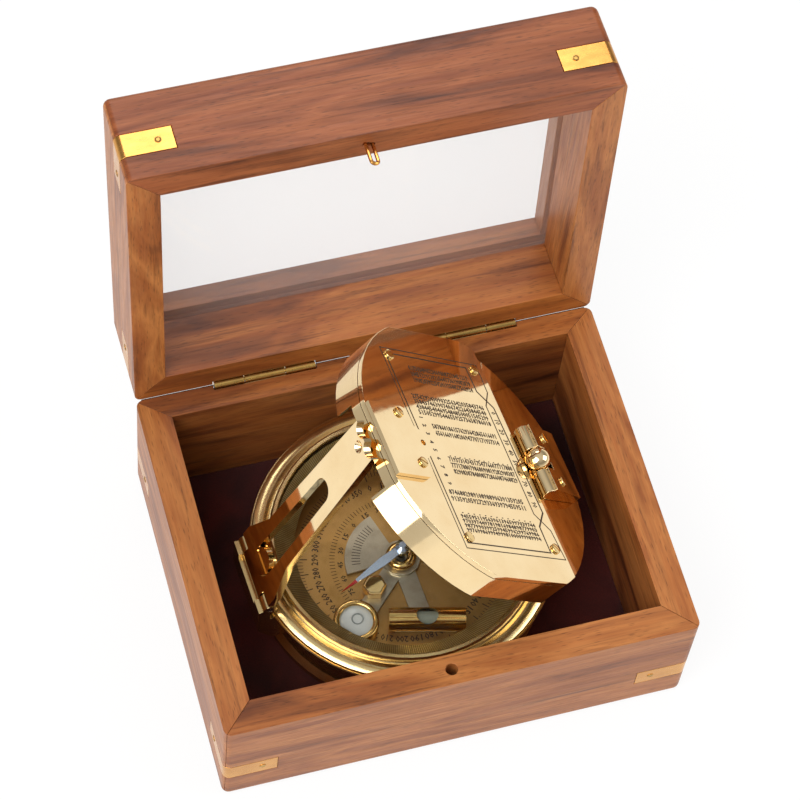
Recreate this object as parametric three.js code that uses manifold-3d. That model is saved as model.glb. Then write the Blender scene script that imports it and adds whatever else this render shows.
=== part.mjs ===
// Boxed pocket transit compass: a turned brass compass with a folding table cover and
// a folding slotted sight arm, lying in a hinged hardwood box with a clear lid pane.
// Millimetres, +Z up. The origin is the middle of the box's underside, X runs along the
// box front to the right and Y runs from the front to the lid hinges at the back.

import * as THREE from 'three';
import { mergeVertices } from 'three/addons/utils/BufferGeometryUtils.js';
import { RoundedBoxGeometry } from 'three/addons/geometries/RoundedBoxGeometry.js';
import Module from 'manifold-3d';

const wasm = await Module();
wasm.setup();

// Clearances shared by the pieces
const fit = 0.3; // between a seated piece and its seat
const glueLine = 0.1; // between glued or inlaid pieces
const overrun = 5; // how far a cutting tool runs past what it cuts
const mergeTolerance = 1e-4; // between two corners that are one

// Box, sized round the compass that lies in it
const sideRoom = 14.2; // from the bezel to each side wall
const depthRoom = 1.2; // left over from front to back, in all
const baseHeight = 41;
const lidHeight = 26.8;
const sideWall = 8.6;
const backWall = 6.8;
const lidWall = 8.7;
const boxEdgeRadius = 2;
const boardThickness = 2.2;
const liningThickness = 0.8;
const lidOpenAngle = 93.86; // degrees from shut to the hinge stop
const paneDepth = 17.7; // from the lid's mating face to the pane
const paneThickness = 3;
const paneGroove = 3; // how far the pane enters each wall

// Corner straps
const strapHeight = 7;
const strapLeg = 14.8;
const strapThickness = 0.8;
const baseStrapBelowRim = 22.6;
const lidStrapFromFace = 7.2;

// Box hinges and catch
const hingeLength = 28.5;
const hingeInset = 22; // from the box's side to the hinge's near end
const barrelRadius = 1.15;
const hingePinRadius = 0.55;
const middleKnuckle = 11.5;
const leafThickness = 0.7;
const leafDepth = 6;
const pinPlay = 0.1; // radial, wider than the facets of the bores
const catchWire = 0.5; // radius of the wire
const catchEye = 1; // radius of the loop's centre line
const catchReach = 6.7; // how far the loop stands out of the lid
const catchRoot = 4; // how far its legs enter the lid
const catchX = -2.9; // a little left of the middle
const catchTwist = 20; // degrees, the loop bent out of line

// Where the compass lies in the box
const compassX = -1.9;
const compassForward = 0.3; // in front of the middle of the room inside
const compassYaw = 5.74; // degrees

// Compass case
const caseRadius = 38.6;
const caseWall = 4.6;
const caseHeight = 19.3;
const caseFloor = 1.4;
const footOverhang = 1.6; // of the foot ring beyond the case
const footWidth = 6.4;
const footHeight = 2.4;
const leverRecess = 3;

// Bezel: a flange, a groove, a broad rolled band and a narrow raised ring round the crystal
const bezelOverhang = 3.6; // of the bezel beyond the case
const bezelFlange = 1.1; // height of the flange
const bezelGroove = 0.5; // width and depth of the turned grooves
const bezelBandHeight = 2.5; // from the flange's underside to the top of the band
const bezelBandWidth = 4.4;
const bezelHeight = 4.4; // from the flange's underside to the top of the raised ring
const bezelRingWidth = 1.6; // of the raised ring
const lipThickness = 0.5;
const lipReach = 0.6; // how far the raised ring reaches over the crystal
const crystalInset = 6.3; // from the bezel's edge to the crystal's
const crystalThickness = 1.6;

// Dial side
const dialTop = 7.8;
const dialThickness = 1.2;
const ringSlopeWidth = 5.6; // of the graduated ring's chamfer, seen from above
const ringSlopeHeight = 4.6;
const ringFoot = 1.5; // thickness of the wall that carries the ring
const pivotRadius = 1.1;
const needlePlane = 16;
const needleLength = 21.7;
const needleWidth = 2.6;
const needleThickness = 0.5;
const needleCapRadius = 1.9;
const needleCapHeight = 1.5;
const needleAngle = 199; // degrees, towards the red end

// Clinometer: a turning plate that carries both levels
const levelRoom = 4.9; // from the graduated ring to the round level's axis
const clinoHubRadius = 5.4;
const clinoPlate = 0.8;
const clinoAngle = -19.6; // degrees, the tube level's axis at rest
const clinoShaftRadius = 2;
const sectorRadius = 15.5;
const sectorSpan = 76; // degrees
const sectorMiddle = 140; // degrees at rest
const roundLevelRadius = 6.3;
const roundLevelAngle = 218.7; // degrees at rest
const roundLevelHeight = 4.4;
const roundLevelWall = 1.2;
const tubeLevelRadius = 3.3;
const tubeLevelWall = 0.7;
const tubeLevelRoom = 9.8; // from the graduated ring to the tube's axis
const tubeLevelGap = 2.6; // from the round level's cup, along that axis
const tubeEndRoom = 1.6; // from the graduated ring to the tube's far end
const tubeWindowLength = 6;
const tubeWindowWidth = 5;
const leverLength = 17;
const leverWidth = 5;
const leverThickness = 1.4;

// Cover, hinged over the case
const coverInset = 0.7; // of the cover inside the bezel's edge
const coverFlatCut = 2.8; // depth of the two side flats
const coverTipCut = 1.5; // depth of the flat at the tip
const coverWall = 1.3;
const coverDepth = 8.2; // from the shell's rim to its top
const coverHingeOut = 3; // from the shell's edge to the hinge axis
const coverHingeRise = 0.7; // of the hinge axis above the shell's rim
const coverOpenAngle = 43; // degrees at rest
const coverKnuckleRadius = 2;
const coverKnuckleLength = 12;
const coverLugOut = 2.4; // metal outside the hinge axis
const earLength = 4.2;
const earGap = 0.3;
const coverPinRadius = 0.9;
const notchHeight = 5.3; // of the window for the sight arm in the tip's wall
const notchHalfWidth = 12.5;
const notchShift = 0.8; // of the window's middle off the cover's line
const tableThickness = 1.5;
const tableEdgeX = 20.2; // straight edge beside the hinge
const mirrorInset = 7; // from the shell's edge to the mirror's
const mirrorThickness = 1.5;
const tipPlateHalfWidth = 11;
const tipPlateThickness = 1.2;
const tipPlateLength = 15; // from the tip to its straight inner edge
const tipPlateCorner = 3;
const tipPlateLobe = 5.2; // radius of the lobe in the middle of that edge
const tipPlateLobeIn = 1.6; // from the straight edge in to the lobe's middle
const sightHole = 0.9;
const sightHoleOut = 1; // beyond the straight edge, in the lobe
const blockWidth = 21;
const blockInner = 24.5; // distance of the block's rounded side from the cover's middle
const blockLength = 13.1;
const blockHigh = 5.1;
const blockLow = 2.9;
const blockBarrel = 2;
const blockBallRadius = 3.4;

// Sight arm, hinged to the other side of the case and leaning on the cover's tip
const armHingeInset = 0.4; // of the hinge axis inside the bezel's edge
const armHingeRise = 0.8; // of the hinge axis above the bezel
const armYaw = -2.5; // degrees, the arm and its lug sit a little off the cover's line
const armTipOut = 3.1; // of the arm beyond the edge it leans on
const armRootWidth = 22.4;
const armRootEnd = 6.5; // where the flared root begins to narrow
const armWaistAt = 17;
const armWaistWidth = 15;
const armTipWidth = 11.7;
const armThickness = 2.2;
const armUnder = 0.2; // from the hinge axis to the arm's inner face
const armNeck = 2.6; // where the full width begins
const armKnuckleLength = 13.4;
const armPinRadius = 0.8;
const armLugOut = 3.2; // metal outside the hinge axis
const leanGap = 0.5; // between the arm and the edge it leans on
const armSlotStart = 11.3; // where the slot goes right through
const armSlotFromTip = 24.8; // from the middle of the slot's round end
const armSlotRadius = 4.1; // at the root
const armSlotTipRadius = 3.3;
const peepFromTip = 3.2;
const peepRadius = 0.65;
const peepSink = 1.8;
const scallopRadius = 2.6;
const scallopApart = 5.8; // between the middles of the two scallops in the tip
const scallopOut = 0.9; // of those middles beyond the tip
const armScrewAt = 7.4;
const armScrewRadius = 3.8;
const armScrewSeat = 1.5; // depth of the seat at the root of the slot
const armScrewHead = 1.7;
const armScrewSlot = 0.8;
const lugDrop = 12; // height of each hinge lug on the case side

const roundSteps = 60; // facets of the large rings
const levelSteps = 32; // facets of the round level
const smallSteps = 24; // facets of pins and knuckles
const bandSteps = 6; // facets across the bezel's rolled band

// Sizes worked out from the ones above
const deg = Math.PI / 180;
const bezelRadius = caseRadius + bezelOverhang;
const boxWidth = 2 * (bezelRadius + sideRoom + sideWall);
const boxDepth = 2 * bezelRadius + depthRoom + sideWall + backWall;
const halfWidth = boxWidth / 2;
const halfDepth = boxDepth / 2;
const innerHalfWidth = halfWidth - sideWall;
const innerFront = -halfDepth + sideWall;
const innerBack = halfDepth - backWall;
const floorTop = boardThickness + liningThickness;
const catchHoleRadius = catchEye + catchWire + fit / 2;
const compassY = (innerFront + innerBack) / 2 - compassForward;

const footRadius = caseRadius + footOverhang;
const boreRadius = caseRadius - caseWall;
const caseFloorTop = leverRecess + caseFloor;
const bezelBottom = caseHeight + fit;
const bezelBandTop = bezelBottom + bezelBandHeight;
const bezelTop = bezelBottom + bezelHeight;
const crystalRadius = bezelRadius - crystalInset;
const bezelLip = crystalRadius - lipReach;
const crystalTop = bezelTop - lipThickness - fit / 2;
const crystalBottom = crystalTop - crystalThickness;
const ringTop = crystalBottom - fit;
const ringSlopeTop = bezelLip - glueLine;
const ringInner = ringSlopeTop - ringSlopeWidth;
const roundLevelReach = ringInner - levelRoom;
const tubeLevelOffset = ringInner - tubeLevelRoom;
const roundLevelAlong = roundLevelReach * Math.cos((roundLevelAngle - clinoAngle) * deg);
const tubeLevelStart = roundLevelAlong + roundLevelRadius + tubeLevelGap;
const tubeLevelSide = tubeLevelOffset + tubeLevelRadius;
const tubeLevelEnd = Math.sqrt(ringInner ** 2 - tubeLevelSide ** 2) - tubeEndRoom;
const tubeLevelLength = tubeLevelEnd - tubeLevelStart;
const tubeLevelShift = (tubeLevelStart + tubeLevelEnd) / 2;

const coverRadius = bezelRadius - coverInset;
const coverFlat = coverRadius - coverFlatCut;
const coverTip = -coverRadius + coverTipCut;
const coverRim = bezelBandTop + fit;
const coverTop = coverRim + coverDepth;
const coverUnder = coverTop - coverWall;
const tableTop = coverTop + tableThickness + glueLine;
const coverHingeX = coverRadius + coverHingeOut;
const coverHingeZ = coverRim + coverHingeRise;

// The arm leans on the upper edge of the window in the cover's tip
const armHingeX = -bezelRadius + armHingeInset;
const armHingeZ = bezelTop + armHingeRise;
const armOver = armThickness - armUnder;
const propOutX = coverTip - coverHingeX;
const propOutZ = coverRim + notchHeight - coverHingeZ;
const cosOpen = Math.cos(coverOpenAngle * deg);
const sinOpen = Math.sin(coverOpenAngle * deg);
const propX = coverHingeX + propOutX * cosOpen + propOutZ * sinOpen - armHingeX;
const propZ = coverHingeZ - propOutX * sinOpen + propOutZ * cosOpen - armHingeZ;
const propReach = Math.hypot(propX, propZ);
const propLean = Math.asin((armUnder + leanGap) / propReach);
const armAngle = (Math.atan2(propZ, propX) + propLean) / deg;
const armLength = propReach * Math.cos(propLean) + armTipOut;
const armSlotEnd = armLength - armSlotFromTip;

// Finishes, from the object's own colours
function finish(color, roughness, metalness) {
  return () => new THREE.MeshStandardMaterial({ color, roughness, metalness });
}
const wood = finish(0x9a5a30, 0.5, 0);
const board = finish(0x8a5530, 0.8, 0);
const velvet = finish(0x5a1420, 1, 0);
const brass = finish(0xd9b56a, 0.22, 1);
const steel = finish(0xaebccb, 0.25, 1);
const glass = finish(0xe6f0ee, 0.05, 0);
const silvered = finish(0xd8dcdc, 0.08, 1);
const vialGreen = finish(0xe4efe4, 0.1, 0);

// A closed geometry as a solid, its shared corners merged
function solid(geometry) {
  const bare = geometry.clone();
  for (const name of Object.keys(bare.attributes)) {
    if (name !== 'position') bare.deleteAttribute(name);
  }
  const merged = mergeVertices(bare, mergeTolerance);
  const corners = merged.index.array;
  const kept = [];
  for (let i = 0; i < corners.length; i += 3) {
    const [a, b, c] = corners.slice(i, i + 3);
    if (a !== b && b !== c && c !== a) kept.push(a, b, c);
  }
  const mesh = new wasm.Mesh({
    numProp: 3,
    vertProperties: new Float32Array(merged.attributes.position.array),
    triVerts: new Uint32Array(kept),
  });
  return new wasm.Manifold(mesh);
}

function geometryOf(body) {
  const mesh = body.getMesh();
  const geometry = new THREE.BufferGeometry();
  geometry.setAttribute('position', new THREE.BufferAttribute(mesh.vertProperties, 3));
  geometry.setIndex(new THREE.BufferAttribute(mesh.triVerts, 1));
  geometry.computeVertexNormals();
  return geometry;
}

// A profile of [radius, height] points turned about Z
function turned(profile, steps = roundSteps) {
  const points = profile.map(([r, z]) => new THREE.Vector2(r, z));
  if (profile[0][0] > 0) points.push(points[0].clone());
  const geometry = new THREE.LatheGeometry(points, steps);
  geometry.rotateX(Math.PI / 2);
  return solid(geometry);
}

// An outline in the XY plane raised from z0 to z1
function raised(outline, z0, z1, curveSegments = 12) {
  const settings = { depth: z1 - z0, bevelEnabled: false, curveSegments };
  const geometry = new THREE.ExtrudeGeometry(outline, settings);
  geometry.translate(0, 0, z0);
  return solid(geometry);
}

// An outline in the XZ plane drawn out along Y, from -half to +half
function drawnAlongY(outline, half, curveSegments = 12) {
  const settings = { depth: 2 * half, bevelEnabled: false, curveSegments };
  const geometry = new THREE.ExtrudeGeometry(outline, settings);
  geometry.translate(0, 0, -half);
  geometry.rotateX(Math.PI / 2);
  return solid(geometry);
}

function block(x0, x1, y0, y1, z0, z1) {
  const geometry = new THREE.BoxGeometry(x1 - x0, y1 - y0, z1 - z0);
  geometry.translate((x0 + x1) / 2, (y0 + y1) / 2, (z0 + z1) / 2);
  return solid(geometry);
}

function rodZ(radius, x, y, z0, z1, steps = smallSteps) {
  const geometry = new THREE.CylinderGeometry(radius, radius, z1 - z0, steps);
  geometry.rotateX(Math.PI / 2);
  geometry.translate(x, y, (z0 + z1) / 2);
  return solid(geometry);
}

function rodY(radius, x, z, y0, y1, steps = smallSteps) {
  const geometry = new THREE.CylinderGeometry(radius, radius, y1 - y0, steps);
  geometry.translate(x, (y0 + y1) / 2, z);
  return solid(geometry);
}

function rodX(radius, y, z, x0, x1, steps = smallSteps) {
  const geometry = new THREE.CylinderGeometry(radius, radius, x1 - x0, steps);
  geometry.rotateZ(Math.PI / 2);
  geometry.translate((x0 + x1) / 2, y, z);
  return solid(geometry);
}

function polygon(points) {
  return new THREE.Shape(points.map(([x, y]) => new THREE.Vector2(x, y)));
}

// A plan outline with straight sides and round corners
function roundedPlan(width, depth, radius) {
  const x = width / 2;
  const y = depth / 2;
  const plan = new THREE.Shape();
  plan.moveTo(x - radius, -y);
  plan.absarc(x - radius, -y + radius, radius, -Math.PI / 2, 0);
  plan.absarc(x - radius, y - radius, radius, 0, Math.PI / 2);
  plan.absarc(-x + radius, y - radius, radius, Math.PI / 2, Math.PI);
  plan.absarc(-x + radius, -y + radius, radius, Math.PI, Math.PI * 1.5);
  return plan;
}

function piece(name, body, material, parent) {
  const mesh = new THREE.Mesh(geometryOf(body), material());
  mesh.name = name;
  parent.add(mesh);
  return mesh;
}

// Four mitred walls, each a bevelled quarter of one rounded block that is cut off square at
// the mating face. open is +1 where that face is the upper one, -1 where it is the lower one
function mitredWalls(height, front, back, side, open) {
  const outer = new RoundedBoxGeometry(boxWidth, boxDepth, height + overrun, 3, boxEdgeRadius);
  outer.translate(0, 0, (height + open * overrun) / 2);
  const whole = solid(outer);
  const g = glueLine / 2;
  const x = halfWidth;
  const y = halfDepth;
  const xi = halfWidth - side;
  const plans = {
    front: [[-x + g, -y], [x - g, -y], [xi - g, -y + front], [-xi + g, -y + front]],
    right: [[x, -y + g], [x, y - g], [xi, y - back - g], [xi, -y + front + g]],
    back: [[x - g, y], [-x + g, y], [-xi + g, y - back], [xi - g, y - back]],
    left: [[-x, y - g], [-x, -y + g], [-xi, -y + front + g], [-xi, y - back - g]],
  };
  const walls = {};
  for (const [name, plan] of Object.entries(plans)) {
    walls[name] = raised(polygon(plan), 0, height).intersect(whole);
  }
  return walls;
}

// The room of a strap: an upright band round one vertical corner, past the wall's surface
function strapRoom(signX, signY, z0, grow) {
  const inset = strapThickness + grow;
  const x = halfWidth - inset;
  const y = halfDepth - inset;
  const low = z0 - grow;
  const high = z0 + strapHeight + grow;
  const corner = block(
    halfWidth - strapLeg - grow, halfWidth + overrun,
    halfDepth - strapLeg - grow, halfDepth + overrun,
    low, high
  );
  const band = corner.subtract(block(-x, x, -y, y, low - overrun, high + overrun));
  return band.scale([signX, signY, 1]);
}

// A strap wraps the corner, flush with the walls
function cornerStrap(signX, signY, z0) {
  const plan = roundedPlan(boxWidth, boxDepth, boxEdgeRadius);
  const outside = raised(plan, z0 - overrun, z0 + strapHeight + overrun, 3);
  return strapRoom(signX, signY, z0, 0).intersect(outside);
}

const corners = [
  ['front_left', -1, -1],
  ['front_right', 1, -1],
  ['back_left', -1, 1],
  ['back_right', 1, 1],
];

function strappedWalls(walls, z0) {
  const cut = {};
  const recesses = corners.map(([, sx, sy]) => strapRoom(sx, sy, z0, glueLine));
  for (const [name, wall] of Object.entries(walls)) {
    cut[name] = recesses.reduce((body, recess) => body.subtract(recess), wall);
  }
  return cut;
}

function addStraps(prefix, z0, parent) {
  for (const [corner, sx, sy] of corners) {
    piece(`${prefix}_strap_${corner}`, cornerStrap(sx, sy, z0), brass, parent);
  }
}

// Hinge leaf: knuckles on the axis and a plate let into a saw cut in the wall.
// The plate leaves the axis at 45 degrees, downwards for the base and upwards for the lid
function leafPlate(x0, x1, grow, up) {
  const half = leafThickness / 2 + grow;
  const plate = new THREE.BoxGeometry(x1 - x0 + 2 * grow, leafDepth + grow, 2 * half);
  plate.translate((x0 + x1) / 2, -(leafDepth + grow) / 2, 0);
  plate.rotateX(up ? -Math.PI / 4 : Math.PI / 4);
  return solid(plate);
}

function knuckle(x0, x1) {
  return rodX(barrelRadius, 0, 0, x0, x1);
}

function hingePieces(start) {
  const end = start + hingeLength;
  const middle = (start + end) / 2;
  const m0 = middle - middleKnuckle / 2;
  const m1 = middle + middleKnuckle / 2;
  const bore = rodX(hingePinRadius + pinPlay, 0, 0, start - overrun, end + overrun);
  const outerKnuckles = [[start, m0 - fit / 2], [m1 + fit / 2, end]];
  let base = leafPlate(start, end, 0, false);
  base = base.subtract(rodX(barrelRadius + fit, 0, 0, m0 - fit / 2, m1 + fit / 2));
  for (const [x0, x1] of outerKnuckles) {
    base = base.add(knuckle(x0, x1));
  }
  base = base.subtract(bore);
  let lid = leafPlate(start, end, 0, true);
  for (const [x0, x1] of outerKnuckles) {
    lid = lid.subtract(rodX(barrelRadius + fit, 0, 0, x0 - fit / 2, x1 + fit / 2));
  }
  lid = lid.add(knuckle(m0 + fit / 2, m1 - fit / 2)).subtract(bore);
  const pin = rodX(hingePinRadius, 0, 0, start, end);
  return { base, lid, pin };
}

function hingeRoom(start, up) {
  const end = start + hingeLength;
  const barrelRoom = rodX(barrelRadius + fit, 0, 0, start - fit, end + fit);
  return barrelRoom.add(leafPlate(start, end, glueLine, up));
}

const hingeStarts = {
  left: -halfWidth + hingeInset,
  right: halfWidth - hingeInset - hingeLength,
};

// The base of the box
function addBase(parent) {
  const walls = mitredWalls(baseHeight, sideWall, backWall, sideWall, 1);
  const cut = strappedWalls(walls, baseHeight - baseStrapBelowRim - strapHeight);
  for (const start of Object.values(hingeStarts)) {
    cut.back = cut.back.subtract(hingeRoom(start, false).translate([0, halfDepth, baseHeight]));
  }
  const holeY = -halfDepth + sideWall / 2;
  const holeFloor = baseHeight - catchReach - fit;
  const hole = rodZ(catchHoleRadius, catchX, holeY, holeFloor, baseHeight + overrun);
  cut.front = cut.front.subtract(hole);
  for (const [name, wall] of Object.entries(cut)) {
    piece(`base_${name}_wall`, wall, wood, parent);
  }
  addStraps('base', baseHeight - baseStrapBelowRim - strapHeight, parent);
  const x = innerHalfWidth - glueLine;
  const bottom = block(-x, x, innerFront + glueLine, innerBack - glueLine, 0, boardThickness);
  piece('bottom_board', bottom, board, parent);
  const lx = innerHalfWidth - fit;
  const lining = block(-lx, lx, innerFront + fit, innerBack - fit, boardThickness, floorTop);
  piece('velvet_lining', lining, velvet, parent);
}

// The lid, built shut with its hinge axis on X, then swung open
function addLid(parent) {
  const swing = new THREE.Group();
  swing.position.set(0, halfDepth, baseHeight);
  swing.rotation.x = -lidOpenAngle * deg;
  parent.add(swing);
  const lid = new THREE.Group();
  lid.position.set(0, -halfDepth, fit);
  swing.add(lid);
  const walls = mitredWalls(lidHeight, lidWall, lidWall, lidWall, -1);
  const cut = strappedWalls(walls, lidStrapFromFace);
  const gx = halfWidth - lidWall + paneGroove;
  const gy = halfDepth - lidWall + paneGroove;
  const groove = block(-gx, gx, -gy, gy, paneDepth - glueLine, paneDepth + paneThickness + glueLine);
  const catchY = -halfDepth + sideWall / 2;
  const legReach = catchEye + catchWire + glueLine;
  const legHalf = catchWire + glueLine;
  const legRoom = block(-legReach, legReach, -legHalf, legHalf, -overrun, catchRoot + glueLine)
    .rotate([0, 0, catchTwist])
    .translate([catchX, catchY, 0]);
  for (const name of Object.keys(cut)) {
    cut[name] = cut[name].subtract(groove);
  }
  for (const start of Object.values(hingeStarts)) {
    cut.back = cut.back.subtract(hingeRoom(start, true).translate([0, halfDepth, -fit]));
  }
  cut.front = cut.front.subtract(legRoom);
  for (const [name, wall] of Object.entries(cut)) {
    piece(`lid_${name}_wall`, wall, wood, lid);
  }
  addStraps('lid', lidStrapFromFace, lid);
  const px = gx - fit;
  const py = gy - fit;
  piece('lid_pane', block(-px, px, -py, py, paneDepth, paneDepth + paneThickness), glass, lid);
  addCatch(catchY, lid);
}

// A bent wire loop whose two legs enter the lid's front wall
function addCatch(y, parent) {
  const bend = new THREE.TorusGeometry(catchEye, catchWire, 8, smallSteps);
  bend.rotateX(Math.PI / 2);
  const centreZ = -catchReach + catchEye + catchWire;
  bend.translate(0, 0, centreZ);
  const below = block(-overrun, overrun, -overrun, overrun, centreZ - overrun, centreZ);
  let loop = solid(bend).intersect(below);
  for (const side of [-1, 1]) {
    loop = loop.add(rodZ(catchWire, side * catchEye, 0, centreZ - glueLine, catchRoot, 8));
  }
  const wire = piece('catch_loop', loop, brass, parent);
  wire.position.set(catchX, y, 0);
  wire.rotation.z = catchTwist * deg;
}

function addHinges(parent) {
  const axis = new THREE.Group();
  axis.position.set(0, halfDepth, baseHeight);
  parent.add(axis);
  const swung = new THREE.Group();
  swung.rotation.x = -lidOpenAngle * deg;
  axis.add(swung);
  for (const [side, start] of Object.entries(hingeStarts)) {
    const { base, lid, pin } = hingePieces(start);
    piece(`box_hinge_${side}_base_leaf`, base, brass, axis);
    piece(`box_hinge_${side}_pin`, pin, brass, axis);
    piece(`box_hinge_${side}_lid_leaf`, lid, brass, swung);
  }
}

// Compass case: a turned bowl on a foot ring, with a recess below for the lever
function addCase(parent) {
  const footInner = footRadius - footWidth;
  const chamfer = footRadius - caseRadius;
  let bowl = turned([
    [0, leverRecess],
    [footInner, leverRecess],
    [footInner, 0],
    [footRadius - fit, 0],
    [footRadius, fit],
    [footRadius, footHeight],
    [caseRadius, footHeight + chamfer],
    [caseRadius, caseHeight],
    [boreRadius, caseHeight],
    [boreRadius, caseFloorTop],
    [0, caseFloorTop],
  ]);
  bowl = bowl.subtract(rodZ(clinoShaftRadius + pinPlay, 0, 0, -overrun, caseHeight));
  piece('case_body', bowl, brass, parent);
}

// The bezel's rolled band as points of its profile, from its outer edge inwards
function rolledBand(outer, low) {
  const half = bezelBandWidth / 2;
  const rise = bezelBandTop - low;
  const points = [];
  for (let i = 0; i <= bandSteps; i += 1) {
    const turn = (Math.PI * i) / bandSteps;
    const lift = i === bandSteps ? rise / 2 : rise * Math.sin(turn);
    points.push([outer - half + half * Math.cos(turn), low + lift]);
  }
  return points;
}

// The bezel is screwed down over the crystal
function addBezel(parent) {
  const seat = crystalRadius + fit;
  const g = bezelGroove;
  const b = bezelBottom;
  const t = bezelTop;
  const r = bezelRadius;
  const ringOuter = bezelLip + bezelRingWidth;
  const flangeTop = b + bezelFlange;
  const bezel = turned([
    [ringSlopeTop + fit, b],
    [r - g / 2, b],
    [r, b + g / 2],
    [r, flangeTop - g / 2],
    [r - g / 2, flangeTop],
    [r - 2 * g, flangeTop],
    ...rolledBand(r - g, flangeTop + g / 2),
    [ringOuter, bezelBandTop - g],
    [ringOuter, t - g],
    [ringOuter - g, t],
    [bezelLip + g / 2, t],
    [bezelLip, t - g / 2],
    [bezelLip, t - lipThickness],
    [seat, t - lipThickness],
    [seat, crystalBottom - fit / 2],
    [ringSlopeTop + fit, crystalBottom - fit / 2],
  ]);
  piece('bezel_ring', bezel, brass, parent);
  const crystal = turned([
    [0, crystalBottom],
    [crystalRadius, crystalBottom],
    [crystalRadius, crystalTop],
    [0, crystalTop],
  ]);
  piece('crystal', crystal, glass, parent);
}

function addDial(parent) {
  let dial = turned([
    [0, dialTop - dialThickness],
    [boreRadius - fit, dialTop - dialThickness],
    [boreRadius - fit, dialTop],
    [0, dialTop],
  ]);
  dial = dial.subtract(rodZ(clinoShaftRadius + pinPlay, 0, 0, 0, bezelTop));
  // Stand-off ring that carries the dial above the case floor
  const rest = turned([
    [boreRadius - fit - caseWall, caseFloorTop + fit],
    [boreRadius - fit, caseFloorTop + fit],
    [boreRadius - fit, dialTop - dialThickness],
    [boreRadius - fit - caseWall, dialTop - dialThickness],
  ]);
  piece('dial_plate', dial.add(rest), brass, parent);
  const slopeFoot = ringTop - ringSlopeHeight;
  const ring = turned([
    [boreRadius - fit - ringFoot, dialTop + glueLine],
    [boreRadius - fit, dialTop + glueLine],
    [boreRadius - fit, bezelBottom],
    [ringSlopeTop, bezelBottom],
    [ringSlopeTop, ringTop],
    [ringInner, slopeFoot],
    [ringInner, slopeFoot - ringFoot / 2],
    [boreRadius - fit - ringFoot, slopeFoot - ringFoot],
  ]);
  piece('graduated_ring', ring, brass, parent);
}

// Pivot: a post that stands in the clinometer's hollow shaft and carries the needle
function addPivotAndNeedle(parent) {
  const post = turned([
    [0, leverRecess - leverThickness],
    [pivotRadius, leverRecess - leverThickness],
    [pivotRadius, needlePlane - 2 * needleThickness - fit],
    [pivotRadius / 4, needlePlane - fit],
    [0, needlePlane - fit],
  ], smallSteps);
  piece('pivot_post', post, steel, parent);
  const spin = new THREE.Group();
  spin.rotation.z = needleAngle * deg;
  parent.add(spin);
  const tail = needleLength * 0.92;
  const w = needleWidth / 2;
  const blade = raised(polygon([
    [needleLength, 0],
    [needleLength / 3, w],
    [0, w * 0.8],
    [-tail / 3, w],
    [-tail, 0],
    [-tail / 3, -w],
    [0, -w * 0.8],
    [needleLength / 3, -w],
  ]), needlePlane, needlePlane + needleThickness);
  const cap = turned([
    [0, needlePlane + fit],
    [pivotRadius / 2, needlePlane],
    [needleCapRadius, needlePlane],
    [needleCapRadius, needlePlane + needleThickness + needleCapHeight / 2],
    [needleCapRadius / 2, needlePlane + needleThickness + needleCapHeight],
    [0, needlePlane + needleThickness + needleCapHeight],
  ], smallSteps);
  const hollow = turned([
    [0, needlePlane - overrun],
    [pivotRadius / 2, needlePlane - overrun],
    [pivotRadius / 2, needlePlane],
    [0, needlePlane + fit],
  ], smallSteps);
  piece('compass_needle', blade.add(cap).subtract(hollow), steel, spin);
}

function sectorOutline(inner, outer, from, to) {
  const outline = new THREE.Shape();
  outline.absarc(0, 0, outer, from * deg, to * deg, false);
  outline.absarc(0, 0, inner, to * deg, from * deg, true);
  return outline;
}

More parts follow.
